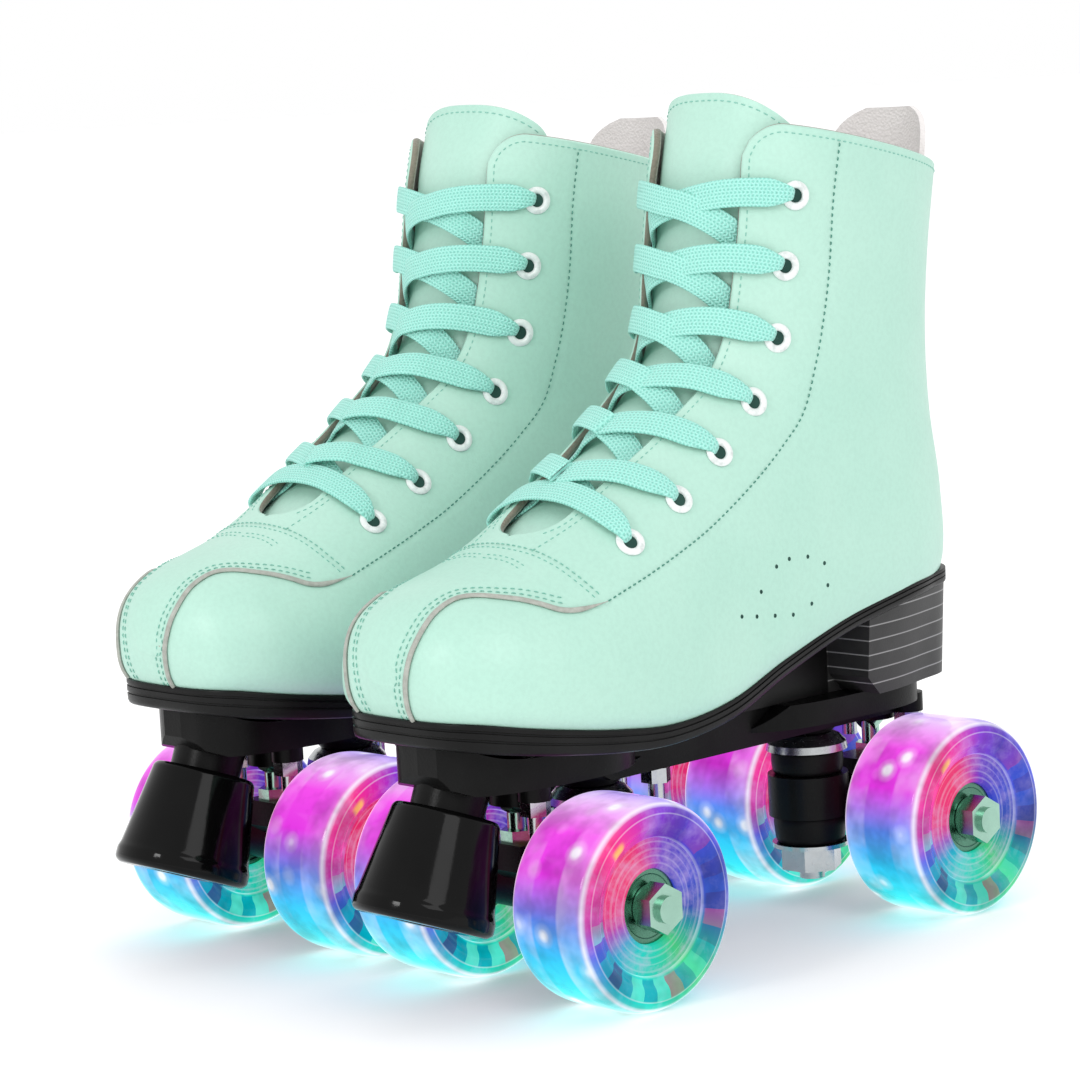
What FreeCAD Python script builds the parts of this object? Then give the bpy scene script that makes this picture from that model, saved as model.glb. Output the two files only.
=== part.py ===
"""A pair of quad roller skates: laced high boots on plates with two trucks and four wheels each.

The left skate stands at +X and the right one at -X, toes towards -Y. The left skate is designed in
its own frame, X = 0 on its middle plane, Y = 0 half way between the axles and Z = 0 on the ground,
and the right skate is its mirror image. Millimetres.
"""
import FreeCAD, Part
import math
import os

V = FreeCAD.Vector
X_AXIS = V(1, 0, 0)
Z_AXIS = V(0, 0, 1)
WIDE = 60.0                  # half width of cutting shapes, past either side of a skate

# ---- driving dimensions -------------------------------------------------------------------------------
SKATE_SPACING = 113.0        # between the middle planes of the two skates
ORIGIN_Y = 17.1              # moves the middle of the pair's length to Y = 0
WHEELBASE = 141.6
WHEEL_DIAMETER = 62.0
WHEEL_WIDTH = 31.0
TRACK = 70.0                 # between the middles of the two wheels of a truck

CORE_RADIUS = 20.0           # light-up core inside the clear tyre
CORE_WIDTH = 25.0
CORE_WEB = 7.4               # solid middle of the core, between its two bearings
BEARING_RADIUS = 11.0        # 608 bearing
BEARING_WIDTH = 7.0
BEARING_GAP = 0.3            # between a bearing and the core's web
BORE_CLEARANCE = 0.05
AXLE_RADIUS = 4.0
AXLE_NUT_FLATS = 13.0
AXLE_NUT_HEIGHT = 6.0
AXLE_END = 1.6               # thread past the nut
AXLE_WASHER_RADIUS, AXLE_WASHER = 6.5, 1.0

KINGPIN_Y = 47.5             # from the middle of the wheelbase
KINGPIN_RADIUS = 4.0
KINGPIN_TOP = 68.0
KINGPIN_END = 10.8
KINGPIN_HEAD = (7.0, 3.0)    # radius, height
KINGPIN_NUT = (17.0, 14.0, 21.4)     # flats, bottom, top
LOWER_WASHER_RADIUS, LOWER_WASHER = 12.2, 1.3
RING_BOTTOM, RING_TOP, RING_RADIUS, RING_BORE = 31.4, 44.7, 12.8, 6.5
CUSHION_RADIUS = 11.5
CUSHION_GAP = 0.3            # between a cushion and the ring it presses on
CUSHION_TAPER = 2.2          # chamfer of the upper cushion
CUP_TOP = 58.2
CUSHION_TOP = 54.5
CUP_RADIUS = 13.0
PIVOT_Y = 78.0
PIVOT_Z = 57.5
PIVOT_RADIUS = 4.0           # barrel of the pivot pin, which lies along the steering axis
PIVOT_HALF_LENGTH = 3.0
PIVOT_NECK = 2.9
HANGER_TUBE_RADIUS = 7.5
HANGER_ARM_TOP = 46.0
HANGER_ARM_HALF_WIDTH = 7.5
WEB_HALF_WIDTH, WEB_TOP = 10.0, 40.0

PLATE_FRONT_BOTTOM, PLATE_FRONT_TOP = 66.0, 84.0      # before it is trimmed to the sole
PLATE_REAR_BOTTOM, PLATE_REAR_TOP = 64.5, 72.0
PLATE_UNDER = 60.2                   # underside of the beam and of the bosses round the mounting bolts
BEAM_HALF_WIDTH = 12.0
STOP_TOP = (-104.9, 59.3)            # Y, Z of the toe stop's top and bottom centres
STOP_BOTTOM = (-117.2, 28.6)
STOP_TOP_RADIUS, STOP_RADIUS = 16.0, 21.0
STOP_RECESS_RADIUS, STOP_RECESS = 9.0, 9.0            # hole in the foot that takes the bolt's head
STOP_SOCKET_RADIUS, STOP_SOCKET = 11.0, 12.0          # boss on the plate that the bolt screws into
BOLT_RADIUS = 2.5
BOLT_HEAD_RADIUS, BOLT_HEAD = 4.6, 2.2
BOLT_SUNK = 3.2                                       # from the sole's top face to the head's underside
BOLT_PLACES = [(12.6, -82.0), (12.6, 82.0), (8.0, -28.0)]
BOLT_END = 10.0                                       # from the plate's underside to the bolt's tip
BOLT_NUT_FLATS, BOLT_NUT = 8.0, 4.5

LEATHER = 2.6                # upper's thickness with its lining
LACE_GAP = 5.6               # from the upper's outer face to the tongue's, room for the lace
TONGUE = 2.6
TONGUE_SPREAD = 62.0         # degrees round the section on either side of the ridge
TONGUE_TOP, TONGUE_ARCH = 16.9, 0.9      # stations: top of its middle, and how much lower its corners are
LACE_WIDTH = 8.4
LACE_THICKNESS = 1.3
EYELET_RADIUS = 4.4
EYELET_BORE = 2.1
EYELET_FLANGE, EYELET_DEPTH = 0.8, 2.8
INSOLE = 3.0
LINING_GAP = 0.5             # between the upper's inner face and the insole or heel tab
HEEL_TAB = 1.9
WEDGE_HALF_WIDTH = 14.0      # of the heel block's part in front of the heel
SOLE_LIP = 0.8               # how far the sole stands out past the upper
SOLE_LIP_BACK = 0.1          # the same round the heel
HEEL_INSET = (0.4, 3.2)      # how far the heel block stands in from the upper at its top and bottom
VAMP_END = -68.0             # where the vamp is sewn to the two quarters

# ---- boot form: fans of sections from the toe, over the instep and up the shaft -----------------------
# ridge y, z; floor y, z; half width; sideways offset; height of the widest point; fullness above, below
STATIONS = [
    (-124, 105, -124, 99, 7, -2.0, 0.45, 2.2, 2.2),
    (-122, 112.5, -121.5, 91, 18, -2.0, 0.38, 2.3, 2.6),
    (-116, 120, -117, 86.5, 27, -2.0, 0.335, 2.4, 3.0),
    (-106, 125, -107, 83.5, 34.5, -1.5, 0.33, 2.3, 3.4),
    (-95, 128, -92, 80.5, 39.5, -1.0, 0.30, 2.2, 4.0),
    (-82, 132, -71, 77.5, 42.5, -0.5, 0.28, 2.2, 4.2),
    (-69, 139, -47, 75, 42.5, 0.0, 0.28, 2.2, 4.2),
    (-53, 150, -21, 76, 40.0, 0.8, 0.295, 2.2, 4.0),
    (-37, 161.5, 7, 83, 37.0, 1.2, 0.305, 2.2, 3.6),
    (-23, 172.5, 40, 88, 35.5, 1.0, 0.355, 2.3, 3.2),
    (-12, 184, 76, 92, 34.5, 0.6, 0.40, 2.35, 2.9),
    (-6, 196, 97, 101, 34.0, 0.3, 0.453, 2.4, 2.5),
    (-3, 208, 101, 124, 33.5, 0.0, 0.50, 2.45, 2.3),
    (0, 220, 98, 150, 33.5, 0.0, 0.52, 2.5, 2.2),
    (3, 232, 97, 176, 34.0, 0.0, 0.54, 2.5, 2.2),
    (6, 242, 99, 203, 35.0, 0.0, 0.55, 2.5, 2.2),
    (10, 251, 103, 231, 36.5, 0.0, 0.56, 2.5, 2.2),
]
COLLAR = len(STATIONS) - 1
RING_POINTS = 36

# the sole's upper and lower faces, y and z along the middle
SOLE_TOP = [(-140, 90.5), (-124, 89.3), (-114, 88.6), (-105, 87), (-91, 84.6), (-71, 81.7), (-50, 80),
            (-25, 83), (2, 90.8), (32, 98.8), (63, 104), (81, 105.4), (100, 106.6), (115, 107.2)]
SOLE_UNDER = [(-140, 83.5), (-124, 81.8), (-114, 80.2), (-105, 78.8), (-91, 77), (-71, 74.8), (-50, 74),
              (-25, 77), (2, 85.4), (32, 93.8), (63, 99), (81, 100.6), (115, 102.2)]
# hollow top of the plate's nose
PLATE_DIP = [(-109, 79.4), (-102, 76.6), (-94, 75.4), (-84, 75.2), (-77, 75.6)]

# lace rows from the lowest to the top one: station and angle round the section of each eyelet
EYELETS = [(6.59, 47), (7.70, 44), (8.78, 43), (9.93, 43), (11.43, 39), (12.95, 35), (14.45, 32.4)]
FACING_EDGES = [74, 71, 67, 64, 61, 58]       # angle round the section of the facing's edge at those rows
# station and half width of the opening between the facings
THROAT = [(5.7, 13), (6.9, 13), (8.0, 15.6), (9.4, 18), (10.6, 18.7), (11.9, 19.8), (13.2, 20.4),
          (15, 20.4), (17.2, 20.4)]


# ---- small tools --------------------------------------------------------------------------------------
def station(s):
    """The section's values at any place along the boot, on a smooth line through the stations."""
    i = min(max(int(math.floor(s)), 0), COLLAR - 1)
    t = s - i
    p1, p2 = STATIONS[i], STATIONS[i + 1]
    p0 = STATIONS[i - 1] if i > 0 else [2 * a - b for a, b in zip(p1, p2)]
    p3 = STATIONS[i + 2] if i + 2 <= COLLAR else [2 * b - a for a, b in zip(p1, p2)]
    return [b + 0.5 * t * (c - a + t * (2 * a - 5 * b + 4 * c - d + t * (3 * (b - c) + d - a)))
            for a, b, c, d in zip(p0, p1, p2, p3)]


def boot_point(s, degrees, inset=0.0):
    """A point of the boot's form, inset inwards. 0 degrees is the outer side, 90 the ridge."""
    ridge_y, ridge_z, floor_y, floor_z, half, offset, widest, n_top, n_low = station(s)
    c, q = math.cos(math.radians(degrees)), math.sin(math.radians(degrees))
    n = n_top if q > 0 else n_low
    reach = abs(q) ** (2 / n)
    v = widest + (1 - widest) * reach if q > 0 else widest - widest * reach
    length = math.hypot(ridge_y - floor_y, ridge_z - floor_z)
    v = (inset + v * (length - 2 * inset)) / length
    x = math.copysign(abs(c) ** (2 / n), c) * (half - inset) + offset
    return V(x, floor_y + (ridge_y - floor_y) * v, floor_z + (ridge_z - floor_z) * v)


def boot_normal(s, degrees):
    """Outward direction of the boot's form."""
    along = boot_point(s + 0.05, degrees) - boot_point(s - 0.05, degrees)
    round_it = boot_point(s, degrees + 1) - boot_point(s, degrees - 1)
    n = round_it.cross(along)
    n.normalize()
    centre = boot_point(s, 0) * 0.5 + boot_point(s, 180) * 0.5
    return n if n.dot(boot_point(s, degrees) - centre) > 0 else n * -1


def skin(rings):
    """Solid with a smooth skin drawn over closed flat rings of poles, each ring with the same count."""
    spans = len(rings) - 3
    count = len(rings[0])
    surface = Part.BSplineSurface()
    along, around = [float(k) for k in range(spans + 1)], [float(k) for k in range(count + 1)]
    surface.buildFromPolesMultsKnots(rings, [4] + [1] * (spans - 1) + [4], [1] * (count + 1),
                                     along, around, False, True, 3, 3)
    caps = [Part.Face(Part.Wire([surface.uIso(float(u)).toShape()])) for u in (0, spans)]
    shell = Part.makeShell([surface.toShape()] + caps)
    shell.sewShape()
    solid = Part.makeSolid(shell)
    if solid.Volume < 0:
        solid.reverse()
    return solid


def places_along(first, last):
    """Places about half a station apart, from first to last."""
    count = int(round((last - first) / 0.5))
    return [first + (last - first) * k / count for k in range(count + 1)]


def boot_form(inset, first, last):
    """Solid of the boot's form between two places along it, inset all round."""
    return skin([[boot_point(s, 360.0 * k / RING_POINTS, inset) for k in range(RING_POINTS)]
                 for s in places_along(first, last)])


def spline(points):
    curve = Part.BSplineCurve()
    curve.interpolate(points)
    return curve.toShape()


def side_prism(lower, upper):
    """Solid between two lines drawn in the YZ plane, given as lists of (y, z), wider than a skate."""
    low = [V(-WIDE, y, z) for y, z in lower]
    high = [V(-WIDE, y, z) for y, z in upper]
    edges = [spline(low), Part.makeLine(low[-1], high[-1])]
    edges += [spline(high[::-1]), Part.makeLine(high[0], low[0])]
    return Part.Face(Part.Wire(edges)).extrude(V(2 * WIDE, 0, 0))


def shifted(line, dz):
    return [(y, z + dz) for y, z in line]


def height_on(line, y):
    """Height of a line of (y, z) points at y, by straight steps."""
    for (y0, z0), (y1, z1) in zip(line, line[1:]):
        if y <= y1:
            return z0 + (z1 - z0) * (y - y0) / (y1 - y0)
    return line[-1][1]


def polygon_prism(points, half_width):
    """A (y, z) polygon extruded from -X to +X."""
    corners = [V(-half_width, y, z) for y, z in points]
    return Part.Face(Part.makePolygon(corners + corners[:1])).extrude(V(2 * half_width, 0, 0))


def outline_wire(points, z):
    """A closed smooth plan outline of (x, y) points."""
    curve = Part.BSplineCurve()
    curve.interpolate([V(x, y, z) for x, y in points], PeriodicFlag=True)
    return Part.Wire([curve.toShape()])


def outline_prism(points, z0, z1):
    return Part.Face(outline_wire(points, z0)).extrude(V(0, 0, z1 - z0))


def rod(radius, start, end):
    return Part.makeCylinder(radius, (end - start).Length, start, end - start)


def hex_nut(flats, height, base, direction, bore):
    """Hexagonal nut with a round bore, standing on base."""
    corner = flats / math.sqrt(3)
    points = [V(corner * math.cos(math.radians(60 * k)), corner * math.sin(math.radians(60 * k)), 0)
              for k in range(7)]
    body = Part.Face(Part.makePolygon(points)).extrude(V(0, 0, height))
    body = body.cut(Part.makeCylinder(bore, height + 2, V(0, 0, -1)))
    body.Placement = FreeCAD.Placement(base, FreeCAD.Rotation(Z_AXIS, direction))
    return body


def turned(profile, base, direction):
    """Solid of revolution of (radius, height) points about direction, standing on base."""
    points = [V(r, 0, h) for r, h in profile]
    face = Part.Face(Part.makePolygon(points + points[:1]))
    body = face.revolve(V(0, 0, 0), Z_AXIS, 360)
    body.Placement = FreeCAD.Placement(base, FreeCAD.Rotation(Z_AXIS, direction))
    return body


def fuse_all(shapes):
    return shapes[0].fuse(shapes[1:]).removeSplitter()


# ---- boot ---------------------------------------------------------------------------------------------
def sole_edge(s, side, lip):
    """Where the upper meets the sole's top face at place s, moved outwards by lip; side is 1 or -1."""
    low, high = 271.0, 359.0
    for _ in range(30):
        middle = (low + high) / 2
        p = boot_point(s, middle)
        if p.z < height_on(SOLE_TOP, p.y):
            low = middle
        else:
            high = middle
    p = boot_point(s, low if side > 0 else 540 - low)
    n = boot_normal(s, low if side > 0 else 540 - low)
    flat = V(n.x, n.y, 0)
    flat.normalize()
    return (p.x + lip * flat.x, p.y + lip * flat.y)


def sole_outline(lip, lip_back):
    """Plan outline of the sole, moved outwards by lip at the front and lip_back round the heel."""
    places = [1.6, 2.2, 3, 4, 5, 6, 7, 8, 9, 10, 10.6]
    lips = [lip + (lip_back - lip) * min(max(0.0, (s - 6) / 3), 1.0) for s in places]
    outer = [sole_edge(s, 1, d) for s, d in zip(places, lips)]
    inner = [sole_edge(s, -1, d) for s, d in zip(places, lips)]
    toe = (-2.0, -120.2 - lip)
    heel = [(20.0, 94.2 + lip_back), (0.0, 100.0 + lip_back), (-20.0, 94.2 + lip_back)]
    return [toe] + outer + heel + inner[::-1]


def throat_cutter():
    """Solid that opens the upper between its facings."""
    rings = []
    for s, half in THROAT:
        ridge_y, ridge_z, floor_y, floor_z = station(s)[:4]
        length = math.hypot(ridge_y - floor_y, ridge_z - floor_z)
        uy, uz = (ridge_y - floor_y) / length, (ridge_z - floor_z) / length
        corners = [V(x, ridge_y + uy * d, ridge_z + uz * d)
                   for x, d in ((-half, -20), (half, -20), (half, 12), (-half, 12))]
        rings.append(Part.makePolygon(corners + corners[:1]))
    return Part.makeLoft(rings, True, True)


def above_sole():
    return side_prism(SOLE_TOP, [(-140, 290), (0, 290), (115, 290)])


def eyelet_frames():
    """Centre and outward direction of every eyelet, lowest row first, outer side then inner side."""
    for s, degrees in EYELETS:
        for d in (degrees, 180 - degrees):
            yield boot_point(s, d), boot_normal(s, d)


def upper_panels():
    """The upper's vamp and its outer and inner quarters, which meet at the back seam."""
    shell = boot_form(0, 0, COLLAR).common(above_sole())
    shell = shell.cut(boot_form(LEATHER, 1.2, COLLAR + 0.6))
    shell = shell.cut(throat_cutter())
    for centre, normal in eyelet_frames():
        shell = shell.cut(rod(EYELET_BORE + 1.0, centre - normal * 7, centre + normal * 4))
    front = Part.makeBox(2 * WIDE, 100, 300, V(-WIDE, VAMP_END - 100, 0))
    outer = Part.makeBox(WIDE, 200, 300, V(0, VAMP_END, 0))
    inner = Part.makeBox(WIDE, 200, 300, V(-WIDE, VAMP_END, 0))
    return [max(shell.common(block).Solids, key=lambda solid: solid.Volume)
            for block in (front, outer, inner)]


def tongue():
    """Padded strip under the facings, from the throat to above the collar, with an arched top."""
    across = [k / 8 for k in range(8, -9, -1)]

    def edge_points(s, inset):
        spread = TONGUE_SPREAD if s > 7 else 50
        return [boot_point(s, 90 + spread * k, inset) for k in across]

    strip = skin([edge_points(s, LACE_GAP) + edge_points(s, LACE_GAP + TONGUE)[::-1]
                  for s in places_along(5.0, TONGUE_TOP)])
    arch = [boot_point(TONGUE_TOP - TONGUE_ARCH * abs(k) ** 2.4, 90 + TONGUE_SPREAD * k, LACE_GAP)
            for k in across]
    front, depth, low = -60, 180, 100
    top = [V(1.15 * p.x, front, p.z) for p in arch]
    down = [top[-1], V(top[-1].x, front, low), V(top[0].x, front, low), top[0]]
    outline = Part.Wire([spline(top)] + [Part.makeLine(a, b) for a, b in zip(down, down[1:])])
    return strip.common(Part.Face(outline).extrude(V(0, depth, 0)))


def insole():
    bed = boot_form(LEATHER + LINING_GAP, 1.4, 12)
    return bed.common(side_prism(shifted(SOLE_TOP, 0.1), shifted(SOLE_TOP, INSOLE + 0.1)))


def heel_tab():
    """Soft pull tab standing up inside the back of the collar."""
    def arc(s, spread, inset):
        return [boot_point(s, 270 + spread * k / 5, inset) for k in range(-5, 6)]

    rings = []
    for s in places_along(14.7, 16.7):
        spread = 33 if s < 16.4 else 26
        face = LEATHER + LINING_GAP
        rings.append(arc(s, spread, face) + arc(s, spread, face + HEEL_TAB)[::-1])
    return skin(rings)


def eyelets():
    barrel, low = EYELET_BORE + 0.9, 0.25
    profile = [(EYELET_BORE, -EYELET_DEPTH), (barrel, -EYELET_DEPTH), (barrel, low), (EYELET_RADIUS, low),
               (EYELET_RADIUS - 0.4, EYELET_FLANGE), (EYELET_BORE, EYELET_FLANGE)]
    return Part.makeCompound([turned(profile, centre, normal) for centre, normal in eyelet_frames()])


def lace_strand(stops):
    """Flat ribbon through stops of (point, outward direction, width, thickness)."""
    rings = []
    for k, (point, outward, width, thickness) in enumerate(stops):
        ahead = stops[min(k + 1, len(stops) - 1)][0] - stops[max(k - 1, 0)][0]
        across = outward.cross(ahead)
        across.normalize()
        up = ahead.cross(across)
        up.normalize()
        corners = [point + across * (a * width / 2) + up * (b * thickness / 2)
                   for a, b in ((-1, -1), (1, -1), (1, 1), (-1, 1))]
        rings.append(Part.makePolygon(corners + corners[:1]))
    return Part.makeLoft(rings, True, True)


def lace_stop(s, degrees, lift):
    """Place of a lace above the boot's form, or below the facings where lift is negative."""
    normal = boot_normal(s, degrees)
    return (boot_point(s, degrees) + normal * lift, normal, LACE_WIDTH, LACE_THICKNESS)


def laces():
    """One lace: a bar through the lowest eyelets, then strands that cross up to the top ones.

    Each strand starts below one facing, comes out at its edge, crosses the tongue and lies over the
    opposite facing as far as its eyelet, where a short run goes down through the bore."""
    under = -(LEATHER + LACE_GAP) / 2
    over = EYELET_FLANGE + LACE_THICKNESS / 2 + 0.45
    low_s, low_a = EYELETS[0]
    angles = [low_a, low_a + 10, low_a + 22, 90, 158 - low_a, 170 - low_a, 180 - low_a]
    strands = [lace_strand([lace_stop(low_s, d, over) for d in angles])]
    for (s0, a0), (s1, a1), edge in zip(EYELETS, EYELETS[1:], FACING_EDGES):
        for side in (1, -1):
            rise = 1.8 if side < 0 else 0.0
            end = 180 - a1
            route = [(a0, under), (edge - 8, under), (edge + 1, under), (edge + 10, -1.2),
                     (edge + 20, over), (90, over + rise), (104, over + rise), (end - 20, over + 0.3),
                     (end - 8, over), (end, over)]
            stops = []
            for degrees, lift in route:
                f = (degrees - a0) / (end - a0)
                angle = degrees if side > 0 else 180 - degrees
                stops.append(lace_stop(s0 + (s1 - s0) * max(0, 1.2 * f - 0.2), angle, lift))
            strands.append(lace_strand(stops))
    for centre, normal in eyelet_frames():
        strands.append(rod(EYELET_BORE - 0.5, centre + normal * (under + LACE_THICKNESS / 2 + 0.05),
                           centre + normal * (over - LACE_THICKNESS / 2 - 0.05)))
    return Part.makeCompound(strands)


def sole():
    slab = outline_prism(sole_outline(SOLE_LIP, SOLE_LIP_BACK), 60, 115)
    body = slab.common(side_prism(SOLE_UNDER, SOLE_TOP))
    return body.cut(bolt_holes())


def heel_block():
    """Stacked heel with a narrow wedge that fills the arch in front of it."""
    low, high = PLATE_REAR_TOP, 104
    ends = [outline_wire(sole_outline(-inset, -inset), z) for inset, z in zip(HEEL_INSET, (high, low))]
    slab = Part.makeLoft(ends, True, True)
    side = polygon_prism([(50, low), (44, low + 6), (44, high), (108, high), (108, low)], WIDE)
    wedge = polygon_prism([(2, low), (2, high), (60, high), (60, low)], WEDGE_HALF_WIDTH)
    below_sole = side_prism([(y, 40) for y, _ in SOLE_UNDER], SOLE_UNDER)
    block = slab.common(side).fuse(wedge).common(below_sole).removeSplitter()
    return block.cut(bolt_holes())


# ---- plate and its hardware ---------------------------------------------------------------------------
def stop_axis():
    """Centre of the toe stop's top face and the direction down its axis."""
    top = V(0, *STOP_TOP)
    down = V(0, *STOP_BOTTOM) - top
    length = down.Length
    down.normalize()
    return top, down, length


def bolt_places():
    return [V(side * x, y, 0) for x, y in BOLT_PLACES for side in (1, -1)]


def bolt_holes():
    holes = [Part.makeCylinder(BOLT_RADIUS + 0.3, 90, p + V(0, 0, 30)) for p in bolt_places()]
    for p in bolt_places():
        top = height_on(SOLE_TOP, p.y)
        holes.append(Part.makeCylinder(5.0, 12, V(p.x, p.y, top - 3.5)))
    return Part.makeCompound(holes)


def pivot_barrel(end, clearance=0.0):
    """The round end of the pivot pin, along the line from the pivot to the middle of the kingpin ring."""
    pivot = V(0, end * PIVOT_Y, PIVOT_Z)
    steering = V(0, end * KINGPIN_Y, (RING_BOTTOM + RING_TOP) / 2) - pivot
    steering.normalize()
    reach = steering * (PIVOT_HALF_LENGTH + clearance)
    return rod(PIVOT_RADIUS + clearance, pivot - reach, pivot + reach)


def plate():
    low, high = PLATE_FRONT_BOTTOM, PLATE_FRONT_TOP
    front = polygon_prism([(-43, low), (-108, low), (-112.5, 68), (-114, 71.5), (-114, high), (-60, high),
                           (-43, PLATE_REAR_TOP + 3)], 40)
    front_plan = [(0, -114.2), (11, -112.5), (19, -105), (23.5, -92), (26, -75), (25, -58), (18, -46),
                  (0, -40)]
    front_plan += [(-x, y) for x, y in front_plan[-2:0:-1]]
    front = front.common(outline_prism(front_plan, 50, 90))
    rear = polygon_prism([(8, PLATE_REAR_BOTTOM), (20, PLATE_REAR_TOP - 0.2), (20, PLATE_REAR_TOP),
                          (87, PLATE_REAR_TOP), (87, PLATE_REAR_BOTTOM)], 40)
    rear_plan = [(0, 6), (16, 14), (21.5, 28), (23, 50), (22.5, 70), (17, 82), (0, 87)]
    rear_plan += [(-x, y) for x, y in rear_plan[-2:0:-1]]
    rear = rear.common(outline_prism(rear_plan, 50, 90))
    beam = polygon_prism([(-60, low), (-50, PLATE_UNDER), (86.5, PLATE_UNDER),
                          (86.5, PLATE_REAR_BOTTOM + 1), (12, PLATE_REAR_TOP), (-50, PLATE_REAR_TOP)],
                         BEAM_HALF_WIDTH)
    pieces = [front, rear, beam]
    for end in (-1, 1):
        boss = Part.makeCone(8.5, 15.5, PLATE_REAR_BOTTOM + 1 - CUP_TOP, V(0, end * KINGPIN_Y, CUP_TOP))
        socket = Part.makeCylinder(8, 9, V(0, end * PIVOT_Y, PIVOT_Z))
        pieces += [boss, socket]
    for p in bolt_places():
        if abs(p.y) > PIVOT_Y:
            pieces.append(Part.makeCylinder(5.0, 6, V(p.x, p.y, PLATE_UNDER)))
    top, down, _ = stop_axis()
    pieces.append(rod(STOP_SOCKET_RADIUS, top, top - down * STOP_SOCKET))
    body = fuse_all(pieces)
    cuts = [bolt_holes(), side_prism(SOLE_UNDER, shifted(SOLE_UNDER, 20))]
    cuts.append(side_prism(PLATE_DIP, [(y, 95) for y, _ in PLATE_DIP]))
    for end in (-1, 1):
        cuts.append(pivot_barrel(end, BORE_CLEARANCE))
        cuts.append(Part.makeCylinder(KINGPIN_RADIUS, 30, V(0, end * KINGPIN_Y, 40)))
        cuts.append(Part.makeCylinder(KINGPIN_HEAD[0] + 0.5, 12, V(0, end * KINGPIN_Y, KINGPIN_TOP - 5)))
    cuts.append(rod(AXLE_RADIUS, top + down, top - down * 9))
    return body.cut(cuts)


def mounting_bolts():
    """Countersunk bolts through sole and plate with nuts below the plate, and the toe stop's bolt."""
    stop_top, down, length = stop_axis()
    head = stop_top + down * (length - STOP_RECESS)
    stop_bolt = rod(AXLE_RADIUS, head, stop_top - down * 8)
    parts = [stop_bolt.fuse(Part.makeCylinder(7.0, 5.0, head, down))]
    for p in bolt_places():
        top = height_on(SOLE_TOP, p.y) - BOLT_SUNK
        shank = rod(BOLT_RADIUS, V(p.x, p.y, PLATE_UNDER - BOLT_END), V(p.x, p.y, top))
        cone = Part.makeCone(BOLT_RADIUS, BOLT_HEAD_RADIUS, BOLT_HEAD, V(p.x, p.y, top - 0.2))
        parts.append(shank.fuse(cone))
        nut_seat = V(p.x, p.y, PLATE_UNDER - BOLT_NUT)
        parts.append(hex_nut(BOLT_NUT_FLATS, BOLT_NUT, nut_seat, Z_AXIS, BOLT_RADIUS))
    return Part.makeCompound(parts)


def kingpins():
    """Both kingpin bolts with their cup washers, lower washers and nuts."""
    parts = []
    flats, nut_low, nut_high = KINGPIN_NUT
    rim = CUP_RADIUS - 0.7
    outside = [(KINGPIN_RADIUS, 0), (7.5, 0), (10.6, -1.5), (12.5, -3.6), (CUP_RADIUS, -5.8)]
    inside = [(rim, -5.8), (11.7, -3.9), (10.0, -2.2), (7.2, -1.0), (KINGPIN_RADIUS, -1.0)]
    cup = [(r, CUP_TOP + h) for r, h in outside + inside]
    for end in (-1, 1):
        foot = V(0, end * KINGPIN_Y, 0)
        pin = rod(KINGPIN_RADIUS, foot + V(0, 0, KINGPIN_END), foot + V(0, 0, KINGPIN_TOP))
        parts.append(pin.fuse(Part.makeCylinder(*KINGPIN_HEAD, foot + V(0, 0, KINGPIN_TOP - 5))))
        parts.append(turned(cup, foot, Z_AXIS))
        seat = foot + V(0, 0, nut_high)
        washer = Part.makeCylinder(LOWER_WASHER_RADIUS, LOWER_WASHER, seat)
        parts.append(washer.cut(Part.makeCylinder(KINGPIN_RADIUS, LOWER_WASHER, seat)))
        nut_foot = foot + V(0, 0, nut_low)
        parts.append(hex_nut(flats, nut_high - nut_low, nut_foot, Z_AXIS, KINGPIN_RADIUS))
    return Part.makeCompound(parts)


def toe_stop():
    top, down, length = stop_axis()
    bore = AXLE_RADIUS + BORE_CLEARANCE
    inner = length - STOP_RECESS
    profile = [(bore, 0), (STOP_TOP_RADIUS - 1.5, 0), (STOP_TOP_RADIUS, 1.5),
               (STOP_RADIUS - 1.2, length - 6), (STOP_RADIUS, length - 4.5), (STOP_RADIUS, length - 1.5),
               (STOP_RADIUS - 1.5, length), (STOP_RECESS_RADIUS, length), (STOP_RECESS_RADIUS, inner),
               (bore, inner)]
    return turned(profile, top, down)


# ---- trucks and wheels --------------------------------------------------------------------------------
def hanger(end):
    """Cast hanger: kingpin ring, axle tube, web between them and pivot arm. end is -1 front, 1 rear."""
    y_axle, z_axle = end * WHEELBASE / 2, WHEEL_DIAMETER / 2
    y_pin, y_pivot = end * KINGPIN_Y, end * PIVOT_Y
    inner_face = TRACK / 2 - CORE_WEB / 2 - BEARING_GAP - BEARING_WIDTH
    tube = rod(HANGER_TUBE_RADIUS, V(-inner_face, y_axle, z_axle), V(inner_face, y_axle, z_axle))
    ring_body = Part.makeCylinder(RING_RADIUS, RING_TOP - RING_BOTTOM, V(0, y_pin, RING_BOTTOM))
    web = Part.makeBox(2 * WEB_HALF_WIDTH, abs(y_axle - y_pin), WEB_TOP - RING_BOTTOM,
                       V(-WEB_HALF_WIDTH, min(y_axle, y_pin), RING_BOTTOM))
    side = [(60.5, 36), (60.5, 42.5), (66, HANGER_ARM_TOP), (84, HANGER_ARM_TOP), (84, 38), (76, 33),
            (64, 33)]
    arm = polygon_prism([(end * y, z) for y, z in side], HANGER_ARM_HALF_WIDTH)
    body = fuse_all([tube, ring_body, web, arm])
    bore = Part.makeCylinder(RING_BORE, 40, V(0, y_pin, 10))
    axle_hole = rod(AXLE_RADIUS, V(-WIDE, y_axle, z_axle), V(WIDE, y_axle, z_axle))
    pin_hole = Part.makeCylinder(PIVOT_NECK, 10, V(0, y_pivot, HANGER_ARM_TOP - 7))
    return body.cut([bore, axle_hole, pin_hole])


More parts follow.
